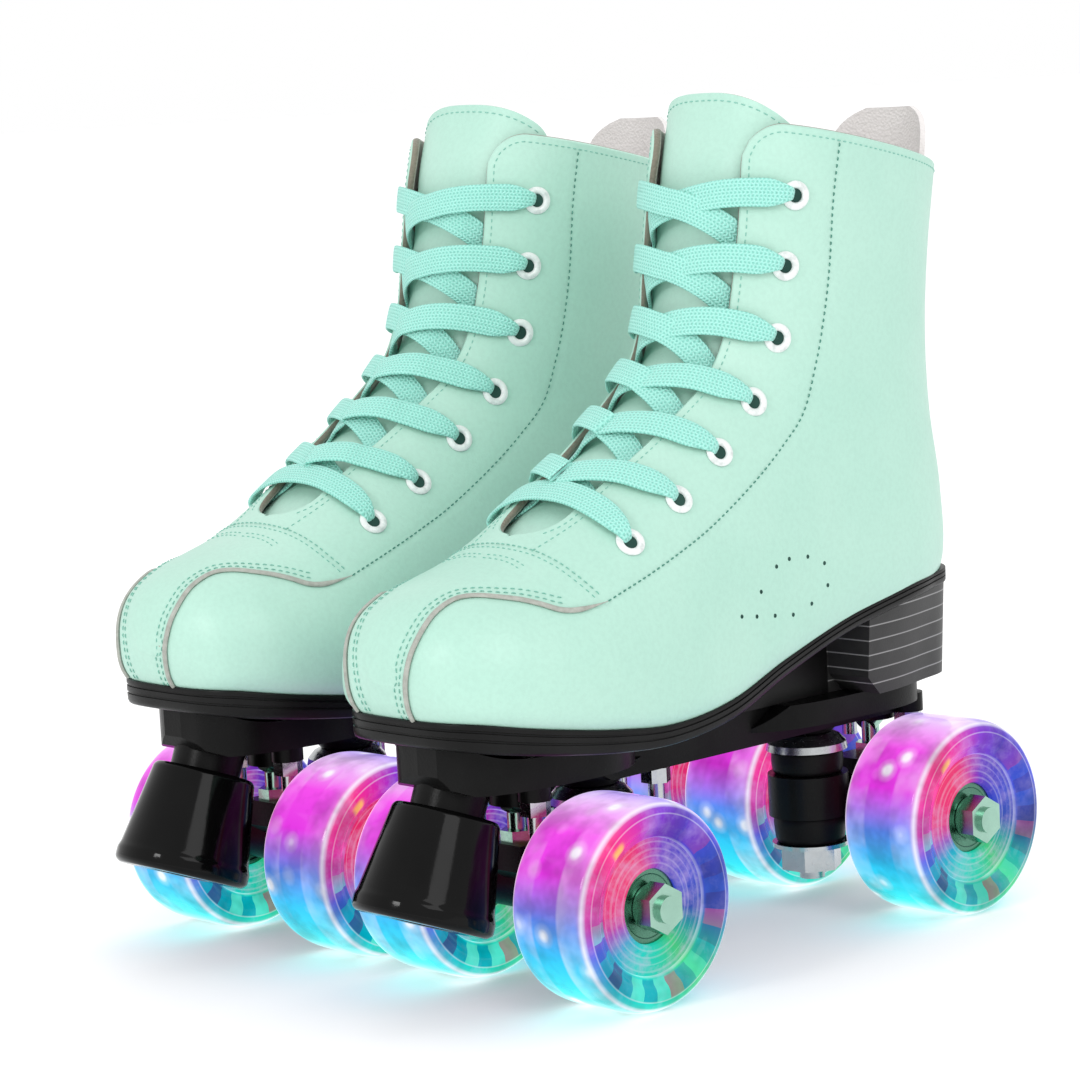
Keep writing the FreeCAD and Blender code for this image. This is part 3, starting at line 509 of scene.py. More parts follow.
def tyre_material():
    """Clear urethane lit from inside: light colours, white hot spots and blocks of light from the core, with
    painted highlights along the lip and on two ridges of the face.
    """
    g = Graph("lit_urethane")
    light, radius, turn, axial = wheel_light(g)
    cloud = g.noise(48, 3)
    cell = g.add("TexVoronoi", {"Vector": g.where, "Scale": 78.0}).outputs["Distance"]
    spots = g.ramp(cell, [(0.10, 1), (0.20, 0.25), (0.34, 0)])
    tread = radial(g, radius, [(0.93, 0), (0.985, 1)])
    width = g.math("DIVIDE", g.math("ABSOLUTE", axial), WHEEL_HALF_WIDTH)
    shoulder = g.times(tread, g.ramp(width, [(0.30, 0.0), (0.36, 1.0), (0.62, 0.7)]))
    glow = g.ramp(turn, [(0.0, (0.06, 0.28, 0.95)), (0.06, (0.01, 0.60, 0.92)), (0.14, (0.02, 0.86, 0.88)),
                         (0.22, (0.70, 1.0, 0.98)), (0.30, (0.02, 0.75, 0.75)), (0.44, (0.03, 0.42, 0.92)),
                         (0.58, (0.20, 0.16, 0.92)), (0.72, (0.45, 0.35, 0.95)),
                         (0.78, (0.85, 0.60, 1.0)), (0.86, (0.85, 0.08, 0.85)), (0.93, (0.70, 0.04, 0.75)),
                         (1.0, (0.06, 0.28, 0.95))])
    colour = g.mix(g.times(tread, 0.9), light, glow)
    colour = g.mix(g.times(shoulder, g.between(cloud, 0.02, 0.38, 0.44)), colour, (0.93, 0.86, 1.0))
    colour = g.mix(g.times(g.times(spots, tread), 0.85), colour, (0.95, 0.97, 1.0))
    face = radial(g, radius, [(0.60, 1), (0.93, 1), (0.97, 0)])
    veins = g.ramp(g.noise(85, 4, 0.7), [(0.48, 0.0), (0.72, 0.30)])
    colour = g.mix(g.times(veins, face), colour, (0.60, 0.50, 0.95))
    ring = radial(g, radius, [(0.66, 0), (0.68, 1), (0.86, 1), (0.88, 0)])
    shade = blocks(g, turn, 30, 3.0)
    block = g.ramp(shade, [(0.0, (0.02, 0.08, 0.45)), (0.30, (0.42, 0.03, 0.12)), (0.45, (0.0, 0.32, 0.45)),
                           (0.60, (0.10, 0.75, 0.60)), (0.80, (0.03, 0.03, 0.20))], "CONSTANT")
    show = g.times(ring, g.ramp(turn, [(0.00, 0.25), (0.08, 0.8), (0.24, 0.75), (0.34, 0.3), (0.48, 0.55),
                                       (0.58, 0.45), (0.68, 0.0), (0.97, 0.05)]))
    colour = g.mix(show, colour, block)
    spark = g.times(radial(g, radius, [(0.70, 0), (0.74, 1), (0.80, 1), (0.84, 0)]),
                    g.ramp(turn, [(0.835, 0), (0.845, 1), (0.865, 1), (0.875, 0)]))
    colour = g.mix(g.times(spark, 0.8), colour, (1.0, 0.55, 0.10))
    # painted highlights: pale lines on two ridges of the face and along the lip
    pale = radial(g, radius, [(0.60, 0.0), (0.645, 0.35), (0.66, 0.0), (0.865, 0.0), (0.875, 0.35),
                              (0.885, 0.0), (0.93, 0.05), (0.962, 0.80), (0.978, 0.10), (1.0, 0.0)])
    colour = g.mix(pale, colour, (0.92, 0.90, 1.0))
    depth = g.ramp(g.noise(64, 3, 0.6), [(0.36, 0.66), (0.56, 1.0)])
    colour = g.mix(1.0, colour, depth, "MULTIPLY")
    g.surface(Base_Color=g.mix(0.10, (0.0, 0.0, 0.0), colour), Emission_Color=colour, Emission_Strength=1.02,
              Roughness=0.12, Normal=g.bump(cloud, 0.05, 0.001))
    g.surface(Coat_Weight=0.05, Coat_Roughness=0.06, IOR=1.5, Specular_IOR_Level=0.14)
    return g.material


def core_material():
    """The hard core: fine rings with painted highlights on them, and a warm glow on one side."""
    g = Graph("lit_core")
    light, radius, turn, _ = wheel_light(g)
    glow = g.noise(160, 3)
    warm = g.ramp(turn, [(0.02, 0.55), (0.10, 0.0), (0.70, 0.0), (0.82, 0.9), (1.0, 0.7)])
    colour = g.mix(warm, light, (0.90, 0.03, 0.16))
    # painted highlights: pale stripes along the core's fine rings
    ring = g.math("SINE", g.times(radius, 3.1))
    pale = g.ramp(g.math("MULTIPLY_ADD", ring, 0.5, 0.5), [(0.70, 0.0), (0.98, 0.18)])
    colour = g.mix(pale, colour, (0.85, 0.82, 1.0))
    veins = g.ramp(g.noise(120, 4, 0.7), [(0.45, 0.0), (0.72, 0.4)])
    colour = g.mix(veins, colour, (0.75, 0.55, 0.90))
    g.surface(Base_Color=g.mix(0.15, (0.0, 0.0, 0.0), colour), Emission_Color=colour, Emission_Strength=0.75,
              Roughness=0.2, Normal=g.bump(glow, 0.1, 0.0008))
    g.surface(Coat_Weight=0.05, Coat_Roughness=0.1, Specular_IOR_Level=0.2)
    return g.material


MINT = leather_material()
THREAD = cord_material("seam_thread", (0.17, 0.44, 0.36), (0.27, 0.55, 0.46))
DARK_THREAD = cord_material("quarter_thread", (0.045, 0.19, 0.145), (0.09, 0.28, 0.22))
LINING = lining_material("grey_lining", (0.30, 0.275, 0.23), (0.46, 0.43, 0.37))
RAW_EDGE = lining_material("raw_edge", (0.17, 0.15, 0.115), (0.27, 0.24, 0.19))
TAB = lining_material("heel_tab_webbing", (0.73, 0.70, 0.69), (0.83, 0.80, 0.79))
BRAID = braid_material()
ENAMEL = enamel_material()
PIPING = cord_material("grey_piping", (0.30, 0.31, 0.275), (0.42, 0.43, 0.39), 500, 3, 0.5, 0.2, 0.0003)
SOLE = moulded_material("sole_rubber", 0.004, 0.009, 0.34, specular=0.14)
HEEL = heel_material()
PLATE = moulded_material("black_nylon", 0.003, 0.007, 0.30, 1400.0, 0.10)
STOP = moulded_material("stop_rubber", 0.001, 0.003, 0.10, 600.0, 0.14, 0.05)
CUSHION = moulded_material("cushion_rubber", 0.003, 0.007, 0.40, 1500.0, 0.10)
STEEL = metal_material("zinc_steel", (0.50, 0.52, 0.53), 0.18)
AXLE_STEEL = metal_material("axle_steel", (0.34, 0.55, 0.45), 0.16)
BEARING = metal_material("bearing_steel", (0.10, 0.24, 0.17), 0.22, 4.0)
SHADOW = moulded_material("hole_shadow", (0.010, 0.045, 0.035), (0.020, 0.070, 0.055), 0.8)
TYRE = tyre_material()
CORE = core_material()


# ---- boot upper ---------------------------------------------------------------------------------------
ROWS, COLUMNS = 236, 190
CORNER = 10.0                # radius of the facings' top corners
STRIP_GAP, STRIP_GAP_FAR = 2.6, 5.8      # from the piping to the toe strip's seam, on its +X and -X sides
COLLAR_HEM, TONGUE_HEM = 1.9, 2.0
UPPER_TUCK, LINING_CLEAR = 1.0, 1.2      # how far the leather ends under the sole's edge, the lining above it


def upper_places():
    """Station and angle of every point of the upper's skin: from one facing's edge round to the other's."""
    s = np.concatenate([np.linspace(0, 1.2, 22)[:-1], np.linspace(1.2, COLLAR, ROWS - 21)])
    edge = np.where(s <= THROAT_START, 90.0, edge_angle(s, throat_half(s)))
    t = np.linspace(0, 1, COLUMNS)
    angles = edge[:, None] - t[None] * (180 + 2 * edge[:, None])
    across = np.linalg.norm(np.diff(form(COLLAR, angles[-1]), axis=0), axis=1)
    from_edge = np.r_[0, np.cumsum(across)]
    from_edge = np.minimum(from_edge, from_edge[-1] - from_edge)
    drop = CORNER - np.sqrt(np.maximum(CORNER ** 2 - np.maximum(CORNER - from_edge, 0) ** 2, 0))
    per_station = np.linalg.norm(form(COLLAR, angles[-1]) - form(COLLAR - 1, angles[-1]), axis=-1)
    lowered = s[:, None] - (drop / per_station)[None] * np.clip((s[:, None] - 13.2) / (COLLAR - 13.2), 0, 1)
    return lowered, angles


def seam_lines():
    """Lines that are sewn on the upper, as rough points on its outer side."""
    piping = [(37.0, -71, 119.2), (36.2, -74.5, 118.5), (35.2, -79, 117.8), (33.9, -83, 117.6),
              (32.0, -86.6, 118.1), (28.6, -90.5, 119.8), (24.6, -95, 121.6), (20.6, -99.4, 122.5),
              (15.9, -103.8, 122.8), (12.6, -108, 122.4), (11.2, -113.5, 119.8), (10.4, -119, 115.0),
              (9.3, -122, 110), (7.8, -123.6, 104), (6.4, -123.0, 97), (5.6, -121, 91), (5.4, -119.6, 88.5)]
    quarter = [form(s, a) for s, a in ((15.86, 15.5), (14.7, 14), (13.6, 14), (12.65, 17), (11.6, 22.5),
                                       (10.5, 26.5), (9.65, 28), (8.8, 28), (7.9, 29.5), (7.2, 31.5),
                                       (6.4, 34))]
    quarter += [piping[0]]
    throat = [(-0.5, -78.2, 133.8), (8, -78.0, 133.4), (13.7, -77.3, 132.3), (21.9, -76, 129.2),
              (28.4, -74.5, 125.2), (34.2, -72, 120.3)]
    vamp = [(-0.5, -85.8, 130.8), (5, -85.4, 130.7), (10.9, -85.3, 129.8), (15.5, -85.8, 128.2)]
    facing = [(12.6, -78.5, 132.6), (14.5, -72, 135.5), (16.6, -64, 139.0), (18.5, -55, 143.6)]
    lines = {"piping": piping, "quarter": quarter, "throat": throat, "vamp": vamp, "facing": facing}
    return {name: np.array([np.asarray(p, float) for p in points]) for name, points in lines.items()}


def towards_x(side, hand):
    """Whether the outer (hand 1) or inner (hand -1) side of a skate is the one towards +X."""
    return (hand > 0) == (side == "left")


def on_side(line, side, hand):
    """A seam line drawn on the boot's outer side (hand 1) or inner side (hand -1).

    The strip over the toe leans to the same side on both skates, so it isn't mirrored with the rest.
    """
    out = line.copy()
    y = line[:, 1]
    if not towards_x(side, hand):
        out[:, 0] -= 2 * np.interp(y, (-124, -114, -106, -95, -82), (-6.9, -6.2, -4.6, -2.3, 0))
    out[:, 0] *= hand
    if hand < 0:
        out[:, 0] += 2 * np.interp(y, (-110, -95, -82, -53, -37, 40, 100), (-1, -1, -0.6, 0.8, 1.2, 1, 0))
    return out


SPINE = [(-2, -110, 100), (0, -60, 100), (0, 0, 115), (0, 40, 140), (0, 50, 180), (0, 55, 250)]


class Skin:
    """The bare upper, on which seams are laid."""

    def __init__(self):
        s = np.linspace(0, COLLAR, 300)
        a = np.linspace(-90, 270, 260)
        points = form(s[:, None], a[None])
        self.tree = BVHTree.FromPolygons(points.reshape(-1, 3).tolist(), grid_faces(300, 260).tolist())

    def lay(self, line):
        """Points of a line moved onto the skin, and the skin's outward directions there."""
        found = [self.tree.find_nearest(Vector(p)) for p in line]
        points = np.array([f[0] for f in found])
        normals = np.array([f[1] for f in found])
        facing = np.sum(normals * (points - self.core(points)), 1, keepdims=True)
        return points, np.where(facing > 0, normals, -normals)

    def core(self, points):
        """The middle of the boot near each point: from the toe back, then up the shaft."""
        dense = catmull(SPINE, np.linspace(0, len(SPINE) - 1, 60))
        near = np.argmin(np.linalg.norm(points[:, None] - dense[None], axis=2), axis=1)
        return dense[near]


SKIN = Skin()


def offset_line(points, normals, distance):
    """A line beside another one on the skin."""
    ahead = unit(np.gradient(points, axis=0))
    return points + np.cross(normals, ahead) * distance


def near_line(points, line, reach):
    """Distance of points to a line, or a large value out of reach."""
    flat = points.reshape(-1, 3)
    out = np.full(len(flat), 99.0)
    low, high = line.min(0) - reach, line.max(0) + reach
    inside = np.where(np.all((flat > low) & (flat < high), axis=1))[0]
    for chunk in np.array_split(inside, max(1, len(inside) // 4000)):
        gap = np.linalg.norm(flat[chunk][:, None] - line[None], axis=2)
        out[chunk] = gap.min(1)
    return out.reshape(points.shape[:-1])


STITCH_SIDES, STITCH_LIFT = 6, 0.05
# from one stitch to the next, and the length and radius of each
SEAM_STITCH, QUARTER_STITCH, TONGUE_STITCH = (2.2, 1.40, 0.18), (2.1, 1.15, 0.24), (2.6, 1.75, 0.19)


def stitches(lines, pitch, length, radius):
    """A row of thread stitches along each laid line: short rounded bars that dip into the leather."""
    parts = []
    for points, normals in lines:
        count = max(2, int(length_of(points) / pitch))
        both = resample(np.hstack([points, normals]), count * 2 + 1)
        middle, normal = both[1::2, :3], unit(both[1::2, 3:])
        ahead = unit(both[2::2, :3] - both[:-1:2, :3])
        across = np.cross(normal, ahead)
        along = np.array([-1, -0.72, 0, 0.72, 1]) * length / 2
        rise = STITCH_LIFT + radius * np.array([-1.3, -0.1, 0.35, -0.1, -1.3])
        thick = radius * np.array([0.35, 0.9, 1.0, 0.9, 0.35])
        angle = 2 * np.pi * np.arange(STITCH_SIDES) / STITCH_SIDES
        centre = (middle[:, None] + ahead[:, None] * along[None, :, None]
                  + normal[:, None] * rise[None, :, None])
        spoke = (across[:, None, None] * np.cos(angle)[None, None, :, None]
                 + normal[:, None, None] * np.sin(angle)[None, None, :, None])
        rings = centre[:, :, None] + spoke * thick[None, :, None, None]
        body = tube_faces(len(along), STITCH_SIDES)
        parts += [(one, body) for one in rings.reshape(len(middle), -1, 3)]
    return joined(parts)


def laid(line, count, side, hand):
    return SKIN.lay(on_side(smooth_path(line, count), side, hand))


def upper(side):
    """The leather upper with its lining, seams, piping and stitching, and dark cups of painted shade for its
    vent holes.
    """
    s, a = upper_places()
    skin = form(s, a)
    normals = form_normal(np.maximum(s, 0.15), a)
    lines = seam_lines()
    sewn, dotted, piping_runs = [], [], []
    relief = np.zeros(s.shape)
    for hand in (1, -1):
        pipe, pipe_up = laid(lines["piping"], 110, side, hand)
        piping_runs.append((pipe, pipe_up))
        near = STRIP_GAP if towards_x(side, hand) else STRIP_GAP_FAR
        strip = [SKIN.lay(offset_line(pipe[18:], pipe_up[18:], -hand * d)) for d in (near, near + 2)]
        quarter = laid(lines["quarter"], 160, side, hand)
        throat, throat_up = laid(lines["throat"], 50, side, hand)
        vamp, vamp_up = laid(lines["vamp"], 26, side, hand)
        facing = laid(lines["facing"], 24, side, hand)
        sewn += strip + [facing]
        dotted.append(quarter)
        sewn += [(throat, throat_up), SKIN.lay(offset_line(throat, throat_up, hand * -2.0))]
        sewn += [(vamp, vamp_up), SKIN.lay(offset_line(vamp, vamp_up, hand * 2.0))]
        for points, depth, width in ((quarter[0], 0.30, 1.1), (pipe, 0.35, 1.3), (throat, 0.22, 1.2)):
            relief -= depth * np.exp(-(near_line(skin, points, 5) / width) ** 2)
        for points, _ in strip:
            relief -= 0.16 * np.exp(-(near_line(skin, points, 4) / 0.9) ** 2)
    for degrees in (266.6, 273.4):
        sewn.append(SKIN.lay(form(np.linspace(11.3, COLLAR - 0.15, 60), degrees)))
    back = SKIN.lay(form(np.linspace(11.1, COLLAR, 80), 270))[0]
    relief -= 0.45 * np.exp(-(near_line(skin, back, 4) / 0.8) ** 2)
    relief += 0.25 * np.sin(skin[..., 2] * 0.21 + 1.3 * np.sin(skin[..., 1] * 0.08)) * ankle_weight(skin)
    outer = skin + normals * relief[..., None]
    outer[..., 2] = np.maximum(outer[..., 2], height_on(SOLE_TOP, outer[..., 1]) - UPPER_TUCK)
    inner = form(s, a, LEATHER)
    inner[..., 2] = np.maximum(inner[..., 2], height_on(SOLE_TOP, inner[..., 1]) + LINING_CLEAR)
    rim, rim_out = boundary(outer, s), boundary(inner, s)
    edge = edge_bead(rim, rim_out)
    rows, columns = s.shape
    tip = skin[0].mean(0) + (0, -0.4, 0)
    parts = [(outer, grid_faces(rows, columns)[:, ::-1]),
             (np.vstack([outer[0], tip]), [[k, k + 1, columns] for k in range(columns - 1)]),
             (inner, grid_faces(rows, columns)), edge]
    points, faces = joined(parts)
    outside = (rows - 1) * (columns - 1) + columns - 1
    kinds = np.zeros(len(faces), int)
    kinds[outside:outside + (rows - 1) * (columns - 1)] = 1
    beads = len(edge[1])
    kinds[-beads:] = np.tile([0, 2, 2, 1], beads // 4)
    place("boot_upper_leather", side, points, faces, [MINT, LINING, RAW_EDGE], "leather",
          ["vamp", "quarter_outer", "quarter_inner"], face_materials=kinds, sharp=50)
    sewn.append(SKIN.lay(hem_line(rim)))
    place("boot_stitching", side, *stitches(sewn, *SEAM_STITCH), THREAD, "leather")
    place("quarter_stitching", side, *stitches(dotted, *QUARTER_STITCH), DARK_THREAD, "leather")
    parts = []
    for pipe, up in piping_runs:
        taper = np.clip(np.arange(len(pipe)) / 12, 0.15, 1)
        parts.append(swept(pipe + up * 0.25, up, 0.85 * taper, 0.62 * taper, 10))
    place("mudguard_piping", side, *joined(parts), PIPING, "lining")
    vents(side)


def ankle_weight(points):
    """Where the leather creases softly: round the front of the ankle."""
    return np.exp(-((points[..., 1] - 5) / 32) ** 2 - ((points[..., 2] - 165) / 22) ** 2) * 0.8


def boundary(surface, s):
    """The open edge of the upper: up one facing, round the collar and down the other."""
    first = int(np.argmax(s[:, 0] > THROAT_START)) - 1
    return np.vstack([surface[first:-1, 0], surface[-1], surface[first:-1, -1][::-1]])


def edge_bead(outer, inner):
    """A rounded edge between the two skins: four strips of quads."""
    middle = (outer + inner) / 2
    ahead = unit(np.gradient(middle, axis=0))
    out = unit(np.cross(unit(outer - inner), ahead))
    bulge = out * np.sign(out[len(out) // 2, 2])
    rings = [outer, outer * 0.85 + inner * 0.15 + bulge * 0.55, middle + bulge * 0.9,
             outer * 0.15 + inner * 0.85 + bulge * 0.55, inner]
    points = np.stack(rings, 1)
    return points.reshape(-1, 3), grid_faces(len(middle), len(rings))


def hem_line(rim):
    """A stitched line on the skin a little inside its open edge."""
    rim = resample(rim, 420)
    points, normals = SKIN.lay(rim)
    ahead = unit(np.gradient(points, axis=0))
    inward = np.cross(normals, ahead)
    if inward[len(inward) // 2][2] > 0:
        inward = -inward
    return (points + inward * COLLAR_HEM)[8:-8]


VENTS = [(-20, 107), (-13, 106), (-4.5, 105), (4, 104), (-10, 113), (-2, 119.5), (4, 121), (12.5, 120.5),
         (20, 117.5), (21, 110.5), (13, 106)]


def vents(side):
    """Small vent holes in the outer quarter, drawn as shallow dark cups on the skin without openings: painted
    shade where the holes are.
    """
    cup = [(0.02, 0.02), (0.45, 0.04), (0.62, 0.09), (0.70, -0.2), (0.02, -0.2)]
    parts = []
    for y, z in VENTS:
        point, normal = SKIN.lay(np.array([[40, y, z]]))
        parts.append(turned(cup, point[0], normal[0], 14))
    place("vent_holes", side, *joined(parts), SHADOW, "leather")


# ---- tongue, tab, insole ------------------------------------------------------------------------------
def tongue(side):
    """Padded tongue with a rounded, stitched top."""
    rows, columns = 120, 61
    inset, thickness = 3.9, 4.2
    s = np.linspace(5.0, 16.9, rows)
    spread = np.interp(s, (5, 7, 8, 17), (40, 50, 62, 62))
    t = np.linspace(-1, 1, columns)
    angles = 90 - spread[:, None] * t[None]
    corner = np.clip((np.abs(t) - 0.80) / 0.20, 0, 1)
    arch = np.where(t > 0, 1.25 * np.abs(t) ** 1.8, 0.9 * np.abs(t) ** 2.4)
    arch += 0.4 * (1 - np.sqrt(1 - corner ** 2))
    places = s[:, None] - arch[None] * np.clip((s[:, None] - 13) / 3.9, 0, 1)
    pad = (1 - t ** 4)[None] * np.clip((16.9 - s[:, None]) / 0.8, 0, 1) ** 0.5
    front = form(places, angles, inset - 0.25 * pad * np.sin(s[:, None] * 1.7))
    back = form(places, angles, inset + 1.6 + (thickness - 1.6) * pad)
    points, faces = slab(front, back, 3)
    kinds = np.zeros(len(faces), int)
    sheet = (rows - 1) * (columns - 1)
    kinds[sheet:] = 1
    pad = place("tongue_padded", side, points, faces, [MINT, LINING], "leather", ["tongue"],
                face_materials=kinds, sharp=50)
    place("tongue_stitching", side, *stitches([tongue_hem(front)], *TONGUE_STITCH), THREAD, "leather")


def tongue_hem(front):
    """A stitched line a little inside the tongue's top edge."""
    fine = np.linalg.norm(np.diff(front, axis=0), axis=2)
    down = np.vstack([np.zeros(front.shape[1]), np.cumsum(fine[::-1], axis=0)])
    points, normals = [], []
    for j in range(3, front.shape[1] - 3):
        i = int(np.searchsorted(down[:, j], TONGUE_HEM))
        row = front.shape[0] - 1 - i
        points.append(front[row, j])
        normals.append(np.cross(front[row, j + 1] - front[row, j - 1], front[row + 1, j] - front[row - 1, j]))
    normals = unit(np.array(normals))
    if normals[len(normals) // 2][1] > 0:
        normals = -normals
    return np.array(points), normals


def heel_tab(side):
    """Webbing pull tab with a rounded top."""
    rows, columns = 30, 21
    s = np.linspace(14.7, 16.75, rows)
    t = np.linspace(-1, 1, columns)
    top = np.sqrt(np.clip(1 - (np.clip(s - 16.25, 0, 1) / 0.55) ** 2, 0.05, 1))
    angles = 270 + 34 * t[None] * top[:, None]
    front = form(s[:, None], angles, LEATHER + 0.6)
    back = form(s[:, None], angles, LEATHER + 2.3)
    place("heel_tab_webbing", side, *slab(front, back, 2), TAB, "lining", ["heel_tab"])


def outline_at(s, hand):
    """Where the upper meets the sole, and the way out there; hand is 1 on the outer side."""
    angles = np.linspace(271, 359, 600)
    points = form(np.full(600, s), angles if hand > 0 else 540 - angles)
    gap = points[:, 2] - height_on(SOLE_TOP, points[:, 1])
    k = int(np.argmax(gap > 0))
    normal = form_normal(s, angles[k] if hand > 0 else 540 - angles[k])
    flat = unit(normal[:2])
    return points[k, :2], flat


def sole_outline(inset):
    """Plan outline of the sole, moved inwards by inset: toe, outer side, heel, then inner side."""
    places = [1.6, 2.2, 3, 4, 5, 6, 7, 8, 9, 10, 10.6]
    outer = [outline_at(s, 1) for s in places]
    inner = [outline_at(s, -1) for s in places]
    heel = [((20.0, 94.2), (0, 1)), ((0.0, 100.0), (0, 1)), ((-20.0, 94.2), (0, 1))]
    toe = [((-2.0, -120.2), (0, -1))]
    pairs = toe + outer + heel + inner[::-1]
    back = np.clip((np.array([0] + places + [12, 12, 12] + places[::-1]) - 6) / 3, 0, 1)
    lips = SOLE_LIP + (SOLE_LIP_BACK - SOLE_LIP) * back - inset
    points = np.array([np.asarray(p) + lip * np.asarray(n) for (p, n), lip in zip(pairs, lips)])
    closed = np.vstack([points[-2:], points, points[:3]])
    dense = catmull(closed, np.linspace(2, len(points) + 2, 900))
    dense = np.hstack([dense, np.zeros((900, 1))])
    return resample(dense, 241)[:-1, :2]


def sole(side):
    """Rubber outsole: a rounded upper edge, two fine grooves and a welt step round its side."""
    levels = [(1.0, 6.0), (1.0, 0.8), (0.97, 0.15), (0.92, 0.0), (0.80, 0.0), (0.78, 0.5), (0.72, 0.5),
              (0.70, 0.0), (0.50, 0.0), (0.48, 0.45), (0.42, 0.45), (0.40, 0.0), (0.16, 0.1), (0.05, 0.5),
              (0.0, 1.2), (0.0, 8.0)]
    rings = []
    for share, inset in levels:
        plan = sole_outline(inset)
        low, high = height_on(SOLE_UNDER, plan[:, 1]), height_on(SOLE_TOP, plan[:, 1])
        rings.append(np.column_stack([plan, low + (high - low) * share]))
    points = np.array(rings)
    faces = grid_faces(len(rings), points.shape[1], wrap=True).tolist()
    count = points.shape[1]
    half = count // 2
    for ring, flip in ((0, False), (len(rings) - 1, True)):
        start = ring * count
        for k in range(half):
            a, b = start + k, start + (k + 1) % count
            c, d = start + (count - k - 1) % count, start + (count - k) % count
            quad = [a, b, c, d] if k else [a, b, c]
            quad = list(dict.fromkeys(quad))
            if len(quad) > 2:
                faces.append(quad if flip else quad[::-1])
    place("sole_rubber", side, points, faces, SOLE, "sole", ["sole"], sharp=35)


# ---- eyelets and laces --------------------------------------------------------------------------------
def eyelet_frames():
    for s, degrees in EYELETS:
        for angle in (degrees, 180 - degrees):
            yield form(s, angle), form_normal(s, angle)


def eyelets(side):
    profile = rounded([(2.1, -3.0), (3.0, -3.0), (3.0, 0.1), (4.5, 0.1), (4.4, 0.55), (3.6, 1.05), (2.6, 1.0),
                       (2.1, 0.3)], 0.35)
    rings = [turned(profile, centre, normal, 36) for centre, normal in eyelet_frames()]
    place("eyelet_rings", side, *joined(rings), ENAMEL, "eyelet", ["eyelets"])
    # painted shade: dark discs inside the eyelet bores
    dark = [turned([(0.05, 0.14), (2.25, 0.14), (2.25, -0.4), (0.05, -0.4)], centre, normal, 20)
            for centre, normal in eyelet_frames()]
    place("eyelet_depths", side, *joined(dark), SHADOW, "leather")


BAND_ROWS, BAND_SIDES, BAND_POWER, BAND_WOBBLE = 110, 22, 3.4, 0.12


def lace_band(route, seed):
    """A flat braid along a route of (station, angle, lift, half width, half thickness)."""
    dense = catmull(route, np.linspace(0, len(route) - 1, 160))
    s, angle, lift, half, thick = dense.T
    ups = form_normal(s, angle)
    wobble = np.sin(np.linspace(0, 5, len(s)) + seed) * BAND_WOBBLE
    path = form(s, angle) + ups * (lift + wobble)[:, None]
    band = resample(np.column_stack([path, ups, half, thick]), BAND_ROWS)
    points, faces = swept(band[:, :3], unit(band[:, 3:6]), band[:, 6], band[:, 7], BAND_SIDES, BAND_POWER)
    along = np.repeat(np.linspace(0, length_of(path), BAND_ROWS), BAND_SIDES)
    across = superellipse(BAND_SIDES, BAND_POWER)[0][None] * band[:, 6:7]
    braid = np.stack([along, across.ravel(), np.zeros(across.size)], 1)
    return points, faces, braid


def laces(side):
    """One lace: the bar through the lowest eyelets and the strands that cross up to the top ones."""
    wide, flat = 4.3, 0.62
    under, over = -3.6, 1.75
    low_s, low_a = EYELETS[0]
    bar = [(low_s, low_a + 0.6, -1.4, 1.5, 0.8), (low_s, low_a + 3.4, 1.4, 2.2, 0.85),
           (low_s + 0.02, low_a + 8, 2.0, 3.5, 0.8),
           (low_s + 0.05, low_a + 16, over, wide, flat), (low_s + 0.08, 78, over - 0.5, wide, flat),
           (low_s + 0.09, 90, over - 0.7, wide, flat)]
    bar += [(s, 180 - a, lift, w, h) for s, a, lift, w, h in bar[-2::-1]]
    bands = [lace_band(bar, 0)]
    for row, ((s0, a0), (s1, a1), edge) in enumerate(zip(EYELETS, EYELETS[1:], FACING_EDGES)):
        for hand in (1, -1):
            rise = 1.5 if hand > 0 else 0.0
            end = 180 - a1
            route = [(a0 + 4, under, 3.0, 0.8), (edge - 9, under, wide, flat),
                     (edge + 1, under + 0.3, wide, flat), (edge + 8, -1.6, wide, flat),
                     (edge + 17, over - 1.2, wide, flat), (90, over - 0.5 + rise, wide, flat),
                     (104, over - 0.2 + rise, wide, flat), (end - 24, over + 0.2, wide, flat),
                     (end - 14, over + 0.1, wide, flat), (end - 8.5, over + 0.25, wide * 0.82, 0.8),
                     (end - 3.4, 1.4, 2.2, 0.85), (end - 0.6, -1.4, 1.5, 0.8)]
            stops = []
            for degrees, lift, half, thick in route:
                f = (degrees - a0) / (end - a0)
                place_s = s0 + (s1 - s0) * min(max(0, 1.22 * f - 0.2), 1)
                stops.append((place_s, degrees if hand > 0 else 180 - degrees, lift, half, thick))
            bands.append(lace_band(stops, row * 2 + hand))
    points, faces = joined([(p, f) for p, f, _ in bands])
    place("lace_braided", side, points, faces, BRAID, "lace", ["laces"],
          attributes={"braid": np.vstack([b for _, _, b in bands])}, sharp=60)


# ---- wheels and cushions ------------------------------------------------------------------------------
def wheel_attributes(points, centre):
    """Radius and axial place of points in a wheel, and their direction from its axle."""
    offset = points - np.asarray(centre)
    radius = np.hypot(offset[:, 1], offset[:, 2])
    flat = np.stack([radius, offset[:, 0], np.zeros(len(points))], 1)
    spoke = np.stack([np.zeros(len(points)), offset[:, 1] / np.maximum(radius, 1e-6),
                      offset[:, 2] / np.maximum(radius, 1e-6)], 1)
    return {"hub": flat, "spoke": spoke}


TYRE_HALF = [(20.0, 12.5), (20.4, 13.3), (22.0, 13.7), (23.4, 14.9), (24.6, 15.4), (26.6, 15.45),
             (28.6, 15.0), (29.7, 14.1), (30.35, 12.9), (30.75, 11.4), (30.95, 9.6), (31.0, 7.0)]
CORE_HALF = [(7.5, 3.7), (11.05, 3.7), (11.05, 12.2), (11.35, 12.5), (12.2, 12.9), (13.3, 12.9), (13.7, 12.4),
             (15.4, 12.2), (15.8, 12.7), (16.6, 12.7), (17.0, 12.2), (18.6, 12.1), (19.1, 12.5), (19.9, 12.5)]


